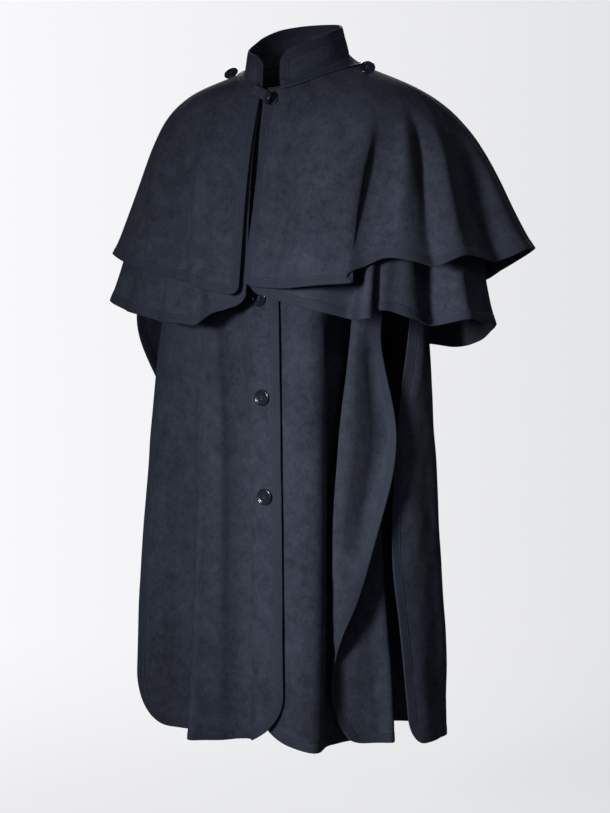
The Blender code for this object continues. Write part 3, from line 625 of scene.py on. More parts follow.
# Across one face of the tape: how far inside the edge, and how far it stands off the cloth.
TAPE_FACE = table(
    "inset rise",
    (TAPE_WIDTH, 0.20), (14.6, 0.44), (13.4, 0.50), (12.5, 0.28), (11.5, 0.52), (8.5, 0.66),
    (4.5, 0.68), (1.5, 0.64),
)
TAPE_UNDER = (0.4, 7.0, 14.4)   # insets of the hidden face that lies on the cloth
TAPE_LIES = 0.12        # how far that face stands off the cloth
TAPE_EDGE = 1.65        # radius of its turn round the edge, from the cloth's middle
TAPE_FLAT = 0.62        # that turn reaches so much of its radius out past the edge
TAPE_TURNS = (18, 45, 72, 90, 108, 135, 162)    # where it is bent, in degrees
SHOULDER_START = 14.0   # the tape begins this far below the neck and the shoulder seam
STITCH_INSET = 12.5     # the row of stitches lies this far inside the edge
STITCH_RISE = 0.48      # and its thread's top this far off the cloth
STITCH_LENGTH = 3.1
PITCH = 4.0             # one stitch to the next
THREAD = 0.30           # radius of the thread
BEAD_SIDES = 5          # facets round a stitch, and rings along it
BEAD_RINGS = 4
TWILL_STEP = 0.0014     # one rib of the twill to the next, in metres
TWILL_SLANT = 0.8
TAPE_DEEP = (0.0078, 0.0098, 0.0164)
TAPE_WORN = (0.0250, 0.0306, 0.0470)
THREAD_DARK = (0.012, 0.015, 0.023)
THREAD_LIGHT = (0.030, 0.035, 0.048)

twill, shader, place = new_material("navy_twill_tape", sheen_weight=0.03, sheen_roughness=0.4,
                                    sheen_tint=(0.55, 0.65, 0.85, 1.0), specular_ior_level=0.06)
parted = place.tree.nodes.new("ShaderNodeSeparateXYZ")
plug(parted, {0: add_node(place.tree, "ShaderNodeUVMap", {"uv_map": "UVMap"})})
along_tape, over_tape = (Wire(place.tree, parted.outputs[k]) for k in (0, 1))
ribs = (along_tape + over_tape * TWILL_SLANT) * (2 * math.pi / TWILL_STEP)
rib = ribs.sine() * 0.5 + 0.5
grain = noise_at(place, 1400.0, 2.0)
wear = noise_at(place, 24.0, 2.0)
tone = (rib * 0.35 + grain * 0.4 + wear * 0.35).clamped()
plug(shader, {"Base Color": mixed(tone, TAPE_DEEP, TAPE_WORN),
              "Roughness": (0.62 + grain * 0.25).clamped(),
              "Normal": bump(0.35, 0.0003, rib * 0.7 + grain * 0.5)})

thread, shader, place = new_material("navy_thread", roughness=0.5, sheen_weight=0.2)
strand = noise_at(place, 900.0, 1.0)
plug(shader, {"Base Color": mixed(strand, THREAD_DARK, THREAD_LIGHT)})


def stitch_tree():
    """Geometry nodes that lay one thread bead at each pitch along a line of points."""
    tree = bpy.data.node_groups.new("stitch_run", "GeometryNodeTree")
    tree.interface.new_socket("Geometry", in_out="OUTPUT", socket_type="NodeSocketGeometry")
    tree.interface.new_socket("Line", in_out="INPUT", socket_type="NodeSocketGeometry")
    for word in ("Pitch", "Length", "Radius"):
        tree.interface.new_socket(word, in_out="INPUT", socket_type="NodeSocketFloat")
    tree.interface.new_socket("Finish", in_out="INPUT", socket_type="NodeSocketMaterial")
    given = tree.nodes.new("NodeGroupInput")
    line, pitch, length, radius, finish = (Wire(tree, given.outputs[k]) for k in range(5))
    curve = add_node(tree, "GeometryNodeMeshToCurve", {}, {"Mesh": line})
    even = add_node(tree, "GeometryNodeResampleCurve", {"mode": "LENGTH"},
                    {"Curve": curve, "Length": pitch})
    bead = add_node(tree, "GeometryNodeMeshUVSphere", {},
                    {"Segments": BEAD_SIDES, "Rings": BEAD_RINGS, "Radius": 1.0})
    round_bead = add_node(tree, "GeometryNodeSetShadeSmooth", {}, {"Geometry": bead})
    size = add_node(tree, "ShaderNodeCombineXYZ", {},
                    {"X": radius, "Y": radius, "Z": length * 0.5})
    tangent = add_node(tree, "GeometryNodeInputTangent")
    turned = add_node(tree, "FunctionNodeAlignRotationToVector", {"axis": "Z"},
                      {"Vector": tangent})
    beads = add_node(tree, "GeometryNodeInstanceOnPoints", {},
                     {"Points": even, "Instance": round_bead, "Rotation": turned, "Scale": size})
    real = add_node(tree, "GeometryNodeRealizeInstances", {}, {"Geometry": beads})
    done = add_node(tree, "GeometryNodeSetMaterial", {}, {"Geometry": real, "Material": finish})
    plug(tree.nodes.new("NodeGroupOutput"), {0: done})
    return tree


STITCHES = stitch_tree()


def sew(name, lines, pitch=PITCH, length=STITCH_LENGTH, radius=THREAD):
    """One object of thread beads along each of some lines of points, in millimetres."""
    points = np.concatenate(lines) * MM
    edges, start = [], 0
    for line in lines:
        edges += [(start + k, start + k + 1) for k in range(len(line) - 1)]
        start += len(line)
    mesh = bpy.data.meshes.new(name + "_line")
    mesh.from_pydata(points.tolist(), edges, [])
    piece = add_object(name, mesh)
    modifier = piece.modifiers.new("stitches", "NODES")
    modifier.node_group = STITCHES
    values = {"Pitch": pitch * MM, "Length": length * MM, "Radius": radius * MM,
              "Finish": thread}
    for item in STITCHES.interface.items_tree:
        if item.in_out == "INPUT" and item.name in values:
            modifier[item.identifier] = values[item.name]
    bpy.context.view_layer.update()
    view = bpy.context.evaluated_depsgraph_get()
    beads = bpy.data.meshes.new_from_object(piece.evaluated_get(view))
    piece.modifiers.remove(modifier)
    piece.data = beads
    bpy.data.meshes.remove(mesh)
    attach(piece, "root")
    return piece


def inset_places(cloth, across, down, insets, side, step=0.75):
    """Places that lie so far inside an edge, measured on the cloth, for each inset."""
    middle, facing = cloth.lie(across, down)
    along = unit(np.gradient(middle, axis=0))
    inward = unit(np.cross(facing, along)) * side
    found, gone = [], 0.0
    for inset in insets:
        count = max(1, int(math.ceil((inset - gone) / step)))
        stride = (inset - gone) / count
        for _ in range(count if inset > gone else 0):
            a, b = cloth.partials(cloth.plain, across, down)
            aa, ab, bb = (a * a).sum(1), (a * b).sum(1), (b * b).sum(1)
            ia, ib = (inward * a).sum(1), (inward * b).sum(1)
            size = aa * bb - ab * ab
            across = np.clip(across + stride * (ia * bb - ib * ab) / size, 0, cloth.width)
            down = np.clip(down + stride * (ib * aa - ia * ab) / size, 0, cloth.length)
        gone = inset
        found.append((across.copy(), down.copy()))
    return found, inward


def bind(node, cloth, top):
    """Tape round a panel's free edge with its two rows of stitches, made on its points."""
    across, down, run = cloth.edge(top)
    sideways = cloth.partials(cloth.at, across[:1], down[:1])[0]
    middle = cloth.at(across[:2], down[:2])
    first = np.cross(cloth.facing(across[:1], down[:1])[0], middle[1] - middle[0])
    side = 1.0 if first @ sideways[0] > 0 else -1.0
    insets = sorted({step.inset for step in TAPE_FACE} | set(TAPE_UNDER))
    places, inward = inset_places(cloth, across, down, insets, side)
    on_cloth = {inset: cloth.lie(*place) for inset, place in zip(insets, places)}
    edge, facing = cloth.lie(across, down)

    def on_face(inset, rise, side=1):
        point, out = on_cloth[inset]
        return point + out * (CLOTH / 2 + rise) * side

    rings = [on_face(*step) for step in TAPE_FACE]
    for turn in np.radians(TAPE_TURNS):
        rings.append(edge - inward * TAPE_EDGE * math.sin(turn) * TAPE_FLAT
                     + facing * TAPE_EDGE * math.cos(turn))
    rings += [on_face(*step, -1) for step in reversed(TAPE_FACE)]
    rings += [on_face(inset, TAPE_LIES, -1) for inset in reversed(TAPE_UNDER)]
    rings += [on_face(inset, TAPE_LIES) for inset in TAPE_UNDER]
    stack = np.stack(rings, axis=1)
    rows, columns = stack.shape[:2]
    over = running_lengths(stack[rows // 2]) * MM
    corners = np.stack(np.meshgrid(run * MM, over, indexing="ij"), axis=-1).reshape(-1, 2)
    last = (rows - 1) * columns
    ends = [[k + 1, k, 0] for k in range(1, columns - 1)]
    ends += [[last, last + k, last + k + 1] for k in range(1, columns - 1)]
    tape = add_piece(node + "_tape", stack.reshape(-1, 3), grid_faces(rows, columns, wrap=True),
                     twill, corners, ends)
    stand_for(tape, node + "_binding")
    rise = STITCH_RISE - THREAD
    stitches = sew(node + "_stitches",
                   [on_face(STITCH_INSET, rise), on_face(STITCH_INSET, rise, -1)])
    return [tape, stitches]


right_trim = bind("right_front", right_front, SHOULDER_START)


# ---- Left front ----------------------------------------------------------------------------
# The wearer's left half of the front, cut like the right one. Its side is folded in an S: the
# wall runs back, turns, comes forward with its wrong side out, and turns into the flap.
LEFT_FRONT = table(
    "z edge lap_end curve valley wall back_fold_in back_fold_out between"
    " front_fold_in front_fold_out flap side_edge",
    (-100, (-28, -84), (28, -86), (60, -83), (88, -76), (108, -70), (125, -62), (136, -57),
     (146, -52), (158, -46), (170, -40), (184, -33), (197, -24)),
    (-180, (-28, -92), (28, -99), (62, -96), (93, -84), (112, -66), (128, -48), (140, -42),
     (150, -44), (160, -49), (174, -50), (188, -42), (199, -30)),
    (-310, (-29, -89), (29, -97), (66, -88), (99, -56), (107, -14), (118, 8), (129, 4),
     (127, -16), (131, -37), (149, -45), (167, -18), (186, 12)),
    (-430, (-30, -86), (30, -95), (82, -83), (92, -22), (84, 52), (88, 84), (100, 80), (103, 40),
     (102, 6), (112, -6), (129, 5), (147, 26)),
    (-620, (-34, -88), (34, -98), (92, -80), (83, -20), (86, 16), (118, 52), (131, 45), (113, 8),
     (96, -20), (104, -34), (138, 2), (172, 38)),
    (-820, (-36, -88), (37, -99), (92, -78), (80, -20), (86, 18), (128, 58), (140, 47), (116, 6),
     (89, -28), (97, -42), (117, -28), (138, -2)),
    (-910, (-37, -88), (38, -99), (91, -77), (79, -20), (87, 21), (134, 62), (145, 51),
     (121, 17), (102, -10), (91, -31), (104, -39), (117, -23)),
    (-955, (-37, -88), (38, -99), (90, -77), (78, -19), (88, 22), (137, 64), (148, 52),
     (126, 23), (107, -2), (94, -21), (96, -34), (109, -33)),
    (-1000, (-37, -88), (38, -98), (89, -77), (78, -18), (88, 24), (140, 66), (151, 54),
     (129, 28), (112, 5), (101, -9), (93, -20), (92, -32)),
    (-1138, (-37, -87), (38, -96), (82, -80), (78, -14), (88, 28), (147, 70), (157, 57),
     (134, 40), (115, 22), (104, 6), (96, -6), (90, -20)),
)
LEFT_FRONT_CREASES = table(
    CREASE,
    (0, 0, 260, 1300, 27, -18.0), (134, 0, 300, 1300, 16, 7.0), (178, -2, 380, 1260, 13, -6.0),
    (319, 8, 640, 1180, 16, 2.4), (391, 2, 430, 1100, 9, 4.0), (420, 2, 380, 850, 14, -24.0),
    (437, 0, 560, 1000, 22, 15.0),
)

LAP_TUCK = 7.0          # the hidden lap's neck edge lies this far in, under the right front
TUCK_TURN = 70.0        # and comes out to the neck seam over so many degrees


def bound_panel(node, cloth, top, seam=None, cell=CELL):
    """A panel and its binding in their nodes' places."""
    piece, area, flat = panel_piece(node, cloth, seam, cell)
    trim = bind(node, cloth, top)


def lapped_neck(angles):
    """Radius of the left front's neck seam."""
    return NECK_RADIUS - LAP_TUCK * np.maximum(0, 1 - (angles + LAP) / TUCK_TURN)


neck = neck_arc(-LAP, 90, lapped_neck)
left_top = chain_level(np.vstack([neck[:-1], shoulder_seam(1, -1)]))
left_front = Cloth([left_top] + plan_levels(LEFT_FRONT), FRONT_CORNER, SIDE_CORNER, -1,
                   LEFT_FRONT_CREASES, slack=0.6)
bound_panel("left_front", left_front, SHOULDER_START, upright_on_seam)


# ---- Back ----------------------------------------------------------------------------------
# One piece of melton from shoulder to shoulder, hanging in uneven flutes to a straight hem.
# Both side edges are free, so that the arms come out between it and the fronts.
BACK = table(
    "z left_edge left_ridge left_side left_corner valley_1 ridge_1 valley_2 centre"
    " valley_3 ridge_2 valley_4 right_corner right_side right_edge",
    (-180, (207, 30), (198, 62), (180, 85), (155, 105), (125, 118), (95, 126), (50, 131),
     (0, 133), (-50, 131), (-95, 126), (-130, 116), (-165, 96), (-195, 64), (-215, 25)),
    (-430, (160, 98), (174, 122), (170, 146), (154, 163), (122, 164), (88, 178), (45, 166),
     (3, 182), (-45, 168), (-95, 178), (-150, 160), (-215, 142), (-282, 70), (-322, -22)),
    (-620, (154, 66), (172, 100), (176, 130), (170, 158), (132, 164), (94, 184), (48, 170),
     (3, 190), (-46, 174), (-98, 186), (-154, 166), (-216, 152), (-262, 96), (-276, 28)),
    (-820, (160, 46), (182, 88), (188, 124), (185, 157), (144, 168), (100, 192), (52, 176),
     (4, 199), (-48, 180), (-103, 194), (-158, 170), (-218, 158), (-258, 104), (-262, 40)),
    (-1000, (180, 49), (197, 85), (200, 122), (196, 158), (154, 174), (108, 200), (56, 182),
     (5, 207), (-50, 186), (-109, 203), (-163, 174), (-220, 164), (-252, 110), (-250, 50)),
    (-1138, (192, 55), (205, 86), (205, 122), (201, 159), (159, 178), (112, 206), (58, 188),
     (5, 214), (-52, 190), (-112, 210), (-166, 178), (-222, 168), (-246, 116), (-242, 58)),
)
BACK_CREASES = table(
    CREASE,
    (88, 12, 420, 1160, 18, 4.2), (206, -14, 380, 1040, 15, -4.5), (262, 10, 560, 1190, 20, 4.8),
    (330, -18, 300, 980, 16, -3.8), (398, 16, 480, 1190, 15, 4.2), (470, -8, 350, 1100, 22, -4.8),
    (560, 14, 520, 1180, 17, 3.8),
)
BACK_CORNER = Corner(34, 46)

neck = neck_arc(90, 270, lambda angles: np.full_like(angles, NECK_RADIUS))
back_top = chain_level(np.vstack([shoulder_seam(1, 1)[::-1], neck[1:-1], shoulder_seam(-1, 1)]))
back = Cloth([back_top] + plan_levels(BACK), BACK_CORNER, BACK_CORNER, -1, BACK_CREASES)
bound_panel("back", back, SHOULDER_START, upright_on_seam)


# ---- Cape tiers ----------------------------------------------------------------------------
# Two flared rings of melton, the upper one over the lower, joined at the neck under its band
# and open down the front. They fall over the shoulders in loose folds to bound hems.
# A row is one fold line, from the wearer's left front edge round the back to the right one:
# the angle where it starts on the shoulder, and the angle, radius and height where it ends.
FOLD = "shoulder hem_angle hem_radius hem_z"
LOWER_CAPE = table(
    FOLD,
    (3, -1, 138, -373), (14, 14, 146, -381), (34, 30, 166, -392), (56, 44, 198, -402),
    (67, 53, 234, -409), (72, 58, 258, -412), (76, 61, 240, -406), (79, 66, 250, -400),
    (83, 73, 277, -409), (88, 80, 300, -414), (94, 90, 319, -416), (102, 100, 328, -420),
    (111, 110, 333, -427), (122, 122, 325, -440), (134, 134, 316, -463), (147, 148, 296, -477),
    (155, 155, 266, -472), (166, 166, 268, -474), (178, 178, 248, -470), (192, 192, 266, -474),
    (205, 205, 260, -470), (217, 217, 298, -462), (230, 230, 306, -446), (242, 242, 330, -424),
    (254, 255, 336, -404), (266, 268, 350, -393), (278, 281, 352, -396), (288, 291, 306, -410),
    (297, 299, 264, -418), (308, 310, 226, -427), (317, 320, 204, -427), (324, 328, 186, -428),
    (328, 331, 162, -411), (338, 340, 150, -403), (354, 355, 138, -391),
)
UPPER_CAPE = table(
    FOLD,
    (3, -3, 150, -362), (14, 12, 162, -364), (34, 30, 197, -364), (56, 44, 242, -355),
    (67, 51, 272, -342), (71, 58, 257, -327), (75, 64, 262, -317), (80, 71, 292, -320),
    (84, 77, 320, -323), (89, 86, 334, -314), (96, 93, 360, -313), (103, 101, 384, -308),
    (110, 109, 393, -303), (118, 119, 388, -310), (128, 132, 354, -340), (140, 143, 336, -364),
    (150, 154, 296, -372), (163, 165, 292, -384), (176, 177, 262, -388), (190, 190, 276, -390),
    (203, 204, 276, -382), (216, 216, 318, -366), (228, 229, 334, -342), (240, 241, 370, -314),
    (252, 253, 362, -306), (264, 264, 366, -304), (276, 276, 344, -310), (288, 288, 330, -313),
    (298, 297, 300, -325), (309, 306, 254, -341), (318, 318, 212, -353), (325, 327, 191, -358),
    (331, 332, 200, -362), (342, 344, 168, -375), (354, 353, 152, -381),
)
CAPE_CORNER = Corner(20, 20)
NeckEdge = namedtuple("NeckEdge", "radius rise")    # a tier's edge at the neck, over the seam
LOWER_NECK = NeckEdge(92.0, 2.8)
UPPER_NECK = NeckEdge(94.4, 5.8)
TIER_STEP = 5.5         # the lower tier lies this far inside the upper one
TIER_STILL = 110.0      # still depth of the tiers, which lie on the shoulders
LOWER_TAPE_START = 34.0     # the lower tier's tape begins this far below its neck edge
LOWER_CREASES = table(
    CREASE,
    (76, -30, 70, 480, 17, -10.0), (112, -6, 200, 560, 22, 4.0), (207, -40, 50, 600, 27, -42.0),
    (236, -6, 60, 360, 22, -11.0), (226, 0, 320, 660, 20, 9.0), (268, 2, 300, 660, 15, 8.0),
    (364, 6, 110, 620, 37, -38.0), (414, 4, 180, 600, 20, 12.0), (460, 4, 60, 350, 21, -24.0),
    (500, -6, 180, 560, 20, 4.4), (585, 10, 160, 560, 18, 4.6), (700, -8, 200, 560, 17, -5.0),
    (800, 10, 150, 560, 20, -7.0), (965, -10, 170, 560, 18, 5.5), (1183, 8, 150, 560, 20, -6.5),
    (1383, -8, 160, 560, 18, 5.0), (1535, 8, 120, 580, 24, -15.0), (1604, 6, 200, 560, 13, 4.2),
    (1645, 4, 160, 580, 16, -13.0), (1701, -2, 50, 420, 27, -18.0), (1742, 4, 300, 560, 10, -6.0),
    (1800, -6, 200, 560, 14, 2.4),
)
UPPER_CREASES = table(
    CREASE,
    (112, -66, 60, 480, 18, -11.0), (162, -26, 120, 480, 26, 6.5),
    (262, -66, 160, 550, 40, -25.0), (326, -14, 120, 480, 20, 6.0),
    (378, -4, 120, 520, 24, -18.0), (430, -6, 140, 500, 20, 9.0), (500, 14, 160, 640, 34, -23.0),
    (560, 10, 150, 500, 22, 5.0), (640, 14, 140, 520, 18, 5.5), (760, -10, 160, 520, 19, -4.6),
    (880, -12, 150, 520, 20, -6.5), (1060, 10, 160, 520, 18, 6.0),
    (1300, -10, 130, 520, 22, -6.0), (1520, 8, 150, 520, 18, 5.0), (1690, -8, 140, 520, 19, -8.0),
    (1800, -6, 110, 520, 22, 5.0), (1870, 8, 70, 500, 28, -12.0), (1925, 6, 50, 500, 14, 9.0),
    (1975, 4, 150, 500, 18, -4.0),
)


def cape_levels(folds, neck, inside):
    """Levels of one tier: its neck edge, the line over the shoulders and the hem."""
    hem = polar(np.array([fold.hem_angle for fold in folds], float),
                np.array([fold.hem_radius for fold in folds], float),
                np.array([fold.hem_z for fold in folds], float))
    knots = running_lengths(hem)
    angles = [float(fold.shoulder) for fold in folds]

    def neck_line(share):
        angle = smooth(angles, knots, share * knots[-1])
        return polar(angle, neck.radius, figure("neck_z", angle) + neck.rise)

    def shoulder_line(share):
        angle = smooth(angles, knots, share * knots[-1])
        return polar(angle, figure("shoulder_radius", angle) - inside,
                     figure("shoulder_z", angle) - inside)

    def hem_line(share):
        return smooth(hem, knots, share * knots[-1])

    return [neck_line, shoulder_line, hem_line]


lower_cape = Cloth(cape_levels(LOWER_CAPE, LOWER_NECK, TIER_STEP), CAPE_CORNER, CAPE_CORNER, -1,
                   LOWER_CREASES, slack=0.8, still=TIER_STILL)
upper_cape = Cloth(cape_levels(UPPER_CAPE, UPPER_NECK, 0.0), CAPE_CORNER, CAPE_CORNER, -1,
                   UPPER_CREASES, slack=0.8, still=TIER_STILL)
bound_panel("lower_cape", lower_cape, LOWER_TAPE_START)
bound_panel("upper_cape", upper_cape, 0.0)


# ---- Collar --------------------------------------------------------------------------------
# A stand collar of one thickness of melton, low at the throat and high at the nape. Its two
# ends round off and stand open. The free edge is bound like the rest.
COLLAR = table(
    "angle top_z top_radius",
    (14, 17, 84), (33, 24, 82), (51, 34, 80), (70, 45, 78), (95, 55, 75), (123, 62, 72),
    (150, 67, 72), (180, 69, 73), (210, 67, 74), (240, 59, 75), (263, 46, 77), (279, 34, 79),
    (303, 22, 81), (323, 15, 82), (340, 10, 83), (352, 7, 84),
)
COLLAR_CORNER = Corner(26, 18)
COLLAR_RADIUS = 88.0
COLLAR_LIFT = 0.6       # its foot stands this far over the neck seam at the centre front,
COLLAR_MORE = 1.0       # and this much more from so many degrees away from it
COLLAR_MORE_FROM = 60.0
COLLAR_BOW = 1.0        # halfway up it bows out by this
COLLAR_STILL = 24.0     # its still depth, from the foot up
COLLAR_CELL = 4.0
COLLAR_TAPE_START = 15.0    # its tape begins this far above its foot


def collar_angle(share):
    """Angle round the neck at a share of the collar's length."""
    return COLLAR[0].angle + (COLLAR[-1].angle - COLLAR[0].angle) * share


def collar_base(share):
    """The collar's foot, just over the neck seam."""
    angle = collar_angle(share)
    turned = np.abs((angle + 180) % 360 - 180)
    return polar(angle, COLLAR_RADIUS,
                 figure("neck_z", angle) + COLLAR_LIFT
                 + np.minimum(COLLAR_MORE, turned / COLLAR_MORE_FROM))


def collar_top(share):
    """The collar's upper edge, before its ends are rounded."""
    angle = collar_angle(share)
    angles = [row.angle for row in COLLAR]
    return polar(angle, smooth([row.top_radius for row in COLLAR], angles, angle),
                 smooth([row.top_z for row in COLLAR], angles, angle))


def collar_middle(share):
    """Halfway up the collar."""
    bow = polar(collar_angle(share), COLLAR_BOW, 0.0)
    return (collar_base(share) + collar_top(share)) / 2 + bow


collar = Cloth([collar_base, collar_middle, collar_top], COLLAR_CORNER, COLLAR_CORNER, 1,
               slack=0.5, still=COLLAR_STILL)
bound_panel("collar", collar, COLLAR_TAPE_START, cell=COLLAR_CELL)


# ---- Neckband ------------------------------------------------------------------------------
# A strip of the binding tape laid round the collar's foot, over the neck edge of both tiers,
# and topstitched along its upper and its lower edge.
BAND_RISE = 14.0        # climbs this far up the collar
BAND_REACH = 9.0        # and reaches this far out over the cape
BAND = 1.4              # its thickness
BAND_CLEARANCE = 1.2    # left between it and the upper tier
BAND_ENDS = (0.012, 0.988)      # it runs between these shares of the collar's length
BAND_COLUMNS = 150
BAND_SEWN = -0.2        # how far a row of stitches pulls it down
BAND_THREAD = 0.12      # the thread lies this far over its face
NECK_SAMPLES = 600
# Down the strip: share of the way from its upper edge to its lower one, and its puff.
BAND_STEPS = table(
    "share puff",
    (0.0, -0.1), (0.05, 0.1), (0.10, 0.1), (0.14, BAND_SEWN), (0.19, 0.15), (0.38, 0.35),
    (0.56, 0.35), (0.76, 0.15), (0.82, BAND_SEWN), (0.88, 0.1), (0.95, 0.1), (1.0, -0.1),
)

share = np.linspace(*BAND_ENDS, BAND_COLUMNS)
spread = np.linspace(0, upper_cape.width, NECK_SAMPLES)
start = upper_cape.plain(spread, np.zeros_like(spread))
start_angle = np.degrees(np.unwrap(np.arctan2(start[:, 0], -start[:, 1])))
on_cape = np.interp(collar_angle(share), start_angle % 360, spread)
# Three lines along it: its edge on the collar, its bend over the seam, its edge on the cape.
on_collar = (share * collar.width, np.full_like(share, BAND_RISE))
high, high_facing = collar.lie(*on_collar)
high = high + high_facing * (CLOTH / 2 + SEAM_GAP + BAND / 2)
clear = CLOTH / 2 + BAND_CLEARANCE + BAND / 2
low, low_facing = upper_cape.lie(on_cape, np.full_like(share, BAND_REACH))
low = low + low_facing * clear
bend_facing = unit(high_facing + low_facing)
bend = upper_cape.plain(on_cape, np.zeros_like(share)) + bend_facing * clear
middle, facing = [], []
for step in BAND_STEPS:
    t = step.share
    out = unit(high_facing * (1 - t) ** 2 + bend_facing * 2 * t * (1 - t) + low_facing * t * t)
    lane = 2 * (t - 0.5)
    point = (high * (lane * (lane - 1) / 2) + bend * (1 - lane * lane)
             + low * (lane * (lane + 1) / 2))
    middle.append(point + out * step.puff)
    facing.append(out)
middle, facing = np.stack(middle), np.stack(facing)
over = running_lengths(middle[:, BAND_COLUMNS // 2]) * MM
run = running_lengths(middle[len(BAND_STEPS) // 2]) * MM
down, along = np.meshgrid(over, run, indexing="ij")
corners = np.stack([along, down], axis=-1).reshape(-1, 2)
neckband = shell("neckband_tape", middle, facing, BAND, twill, np.tile(corners, (2, 1)))
stand_for(neckband, "neckband")
sewn = [k for k, step in enumerate(BAND_STEPS) if step.puff == BAND_SEWN]
sew("neckband_stitches",
    [middle[row] + facing[row] * (BAND / 2 + BAND_THREAD) for row in sewn])


# ---- Neck tab ------------------------------------------------------------------------------
# A short strap of melton from the end of the neckband across the throat. The top button holds
# its rounded end, and it twists a little on its way there.
TAB_START = (-24.0, -97.8, -44.0)       # its middle line starts at the neckband's end
TAB_WAY = ((-6.0, -101.2, -51.0), (16.0, -103.8, -62.0))
TAB_END = (27.0, -104.4, -66.0)         # and ends under the button
TAB_WIDTH = 17.0
TAB_FACING = unit(np.array([0.05, -0.96, 0.28]))
TAB_TWIST = math.radians(9.0)
TAB_EDGE = 0.35         # share of its thickness left at its rounded edges
TAB_EDGE_POWER = 5      # and how suddenly it thins towards them
TAB_ROUND = 0.2         # share of its length that the rounded end takes
TAB_BLUNT = 0.08        # square of the share of its width left at the very end
TAB_STEPS = 41          # places along it
TAB_LANES = 15          # and across it
TAB_SEWN_LANE = 2       # the stitches follow this lane from either edge
TAB_SEWN_TO = 36        # as far as this place along it
TAB_PITCH = 3.0         # its finer stitches: one to the next, their length, their thread
TAB_STITCH = 2.2
TAB_THREAD = 0.22

rail = np.array([TAB_START, *TAB_WAY, TAB_END])
lengths = running_lengths(rail)
along = np.linspace(0, 1, TAB_STEPS)
line = smooth(rail, lengths, along * lengths[-1])
side = unit(np.cross(unit(np.gradient(line, axis=0)), TAB_FACING))
rounding = np.clip((along - (1 - TAB_ROUND)) / TAB_ROUND, 0, 1)
half_width = TAB_WIDTH / 2 * np.sqrt(np.maximum(TAB_BLUNT, 1 - rounding ** 2))
lanes = np.linspace(-1, 1, TAB_LANES)
twist = TAB_TWIST * np.sin(math.pi * along)
middle = np.stack([line + side * (half_width * lane * np.cos(twist))[:, None]
                   + TAB_FACING * (half_width * lane * np.sin(twist))[:, None]
                   for lane in lanes])
plump = TAB_EDGE + (1 - TAB_EDGE) * np.sqrt(1 - np.abs(lanes) ** TAB_EDGE_POWER)
facing = np.broadcast_to(TAB_FACING, middle.shape) * plump[:, None, None]
tab = shell("neck_tab_cloth", middle, facing, CLOTH, melton)
stand_for(tab, "neck_tab")
# The stitches run out along one side, round the end and back along the other.
one, other = middle[TAB_SEWN_LANE], middle[-1 - TAB_SEWN_LANE]
tip = middle[TAB_LANES // 2, TAB_SEWN_TO + 1]
round_tab = np.vstack([one[1:TAB_SEWN_TO], [tip], other[TAB_SEWN_TO - 1:0:-1]])
tab_stitches = sew("neck_tab_stitches", [round_tab + TAB_FACING * (CLOTH / 2)],
                   TAB_PITCH, TAB_STITCH, TAB_THREAD)


# ---- Buttons -------------------------------------------------------------------------------
# Turned four-hole buttons of dark navy plastic with a raised rim and a dished middle, sewn
# through by two bars of thread. Five close the front and one holds the cape on each shoulder.
BUTTON_RINGS = table(
    "share height",
    (0.80, 0.0), (0.93, 0.35), (0.985, 1.2), (1.0, 2.1), (0.985, 2.9), (0.945, 3.5), (0.89, 3.8),
    (0.83, 3.75), (0.77, 3.35), (0.72, 2.85), (0.66, 2.62), (0.55, 2.5),
)
BUTTON_SIDES = 48
BUTTON_SHARP = math.radians(42)     # edges that bend more than this stay sharp
HOLE_REACH = 0.20       # from the button's middle to a hole's, as a share of its radius
HOLE_RADIUS = 0.085
HOLE_DEPTH = 1.6
SPOKES = (0.34, 0.17)   # shares of the radius where the webs between the holes are jointed
SHANK = 3.0             # the thread runs on this far under a button that lies flat
BAR_THREAD = 0.2        # radius of the sewing thread
BAR_STRANDS = 4         # strands side by side in each of the two bars
STRAND_GAP = 0.34
BAR_RISE = 0.45         # the bars stand this far over the dished face,
BAR_SINK = 1.0          # sink by this at their ends,
BAR_OVERRUN = 0.25      # run this far past the middles of the holes,
BAR_UNEVEN = 0.18       # and every other strand lies higher
BAR_STEPS = 13
SHANK_TOP = 0.4         # the shank starts inside the button
SHANK_GAP = 0.5         # and its strands stand this far apart
SHANK_NARROWS = 0.3     # while the two bars draw together to this share of their distance
SHANK_STEPS = 5
THREAD_SIDES = 6
UPRIGHT = 0.8           # a strand steeper than this counts as upright
BUTTON_TURN = math.radians(8.0)     # the buttons are sewn on a little turned
SHOULDER_UP = 40.0      # those on the shoulders face away from the neck and this much up
BUTTON_DARK = (0.0025, 0.0035, 0.007)
BUTTON_LIGHT = (0.010, 0.013, 0.022)
# The soft cloth lets some buttons lean: towards where, how far, and how far that lifts them.
Lean = namedtuple("Lean", "toward turn lift")
LEANS = {"shoulder": Lean((0.45, -1.0, 0.0), math.radians(38.0), 0.85),
         "button_1": Lean((-1.0, 0.0, 0.0), math.radians(38.0), 0.85)}

navy_plastic, shader, place = new_material("navy_button", coat_weight=0.05, coat_roughness=0.1,
                                           specular_ior_level=0.36)
swirl = noise_at(place, 120.0, 3.0, 0.6, (1.0, 1.0, 0.4))
scuff = noise_at(place, 700.0, 2.0)
plug(shader, {"Base Color": mixed(swirl, BUTTON_DARK, BUTTON_LIGHT),
              "Roughness": (0.12 + scuff * 0.12).clamped(),
              "Normal": bump(0.12, 0.0002, scuff)})


def circle(radius, turns, height, x=0.0, y=0.0):
    """Points on a level circle about x and y, one at each turn."""
    return [(x + radius * math.cos(turn), y + radius * math.sin(turn), height)
            for turn in turns]


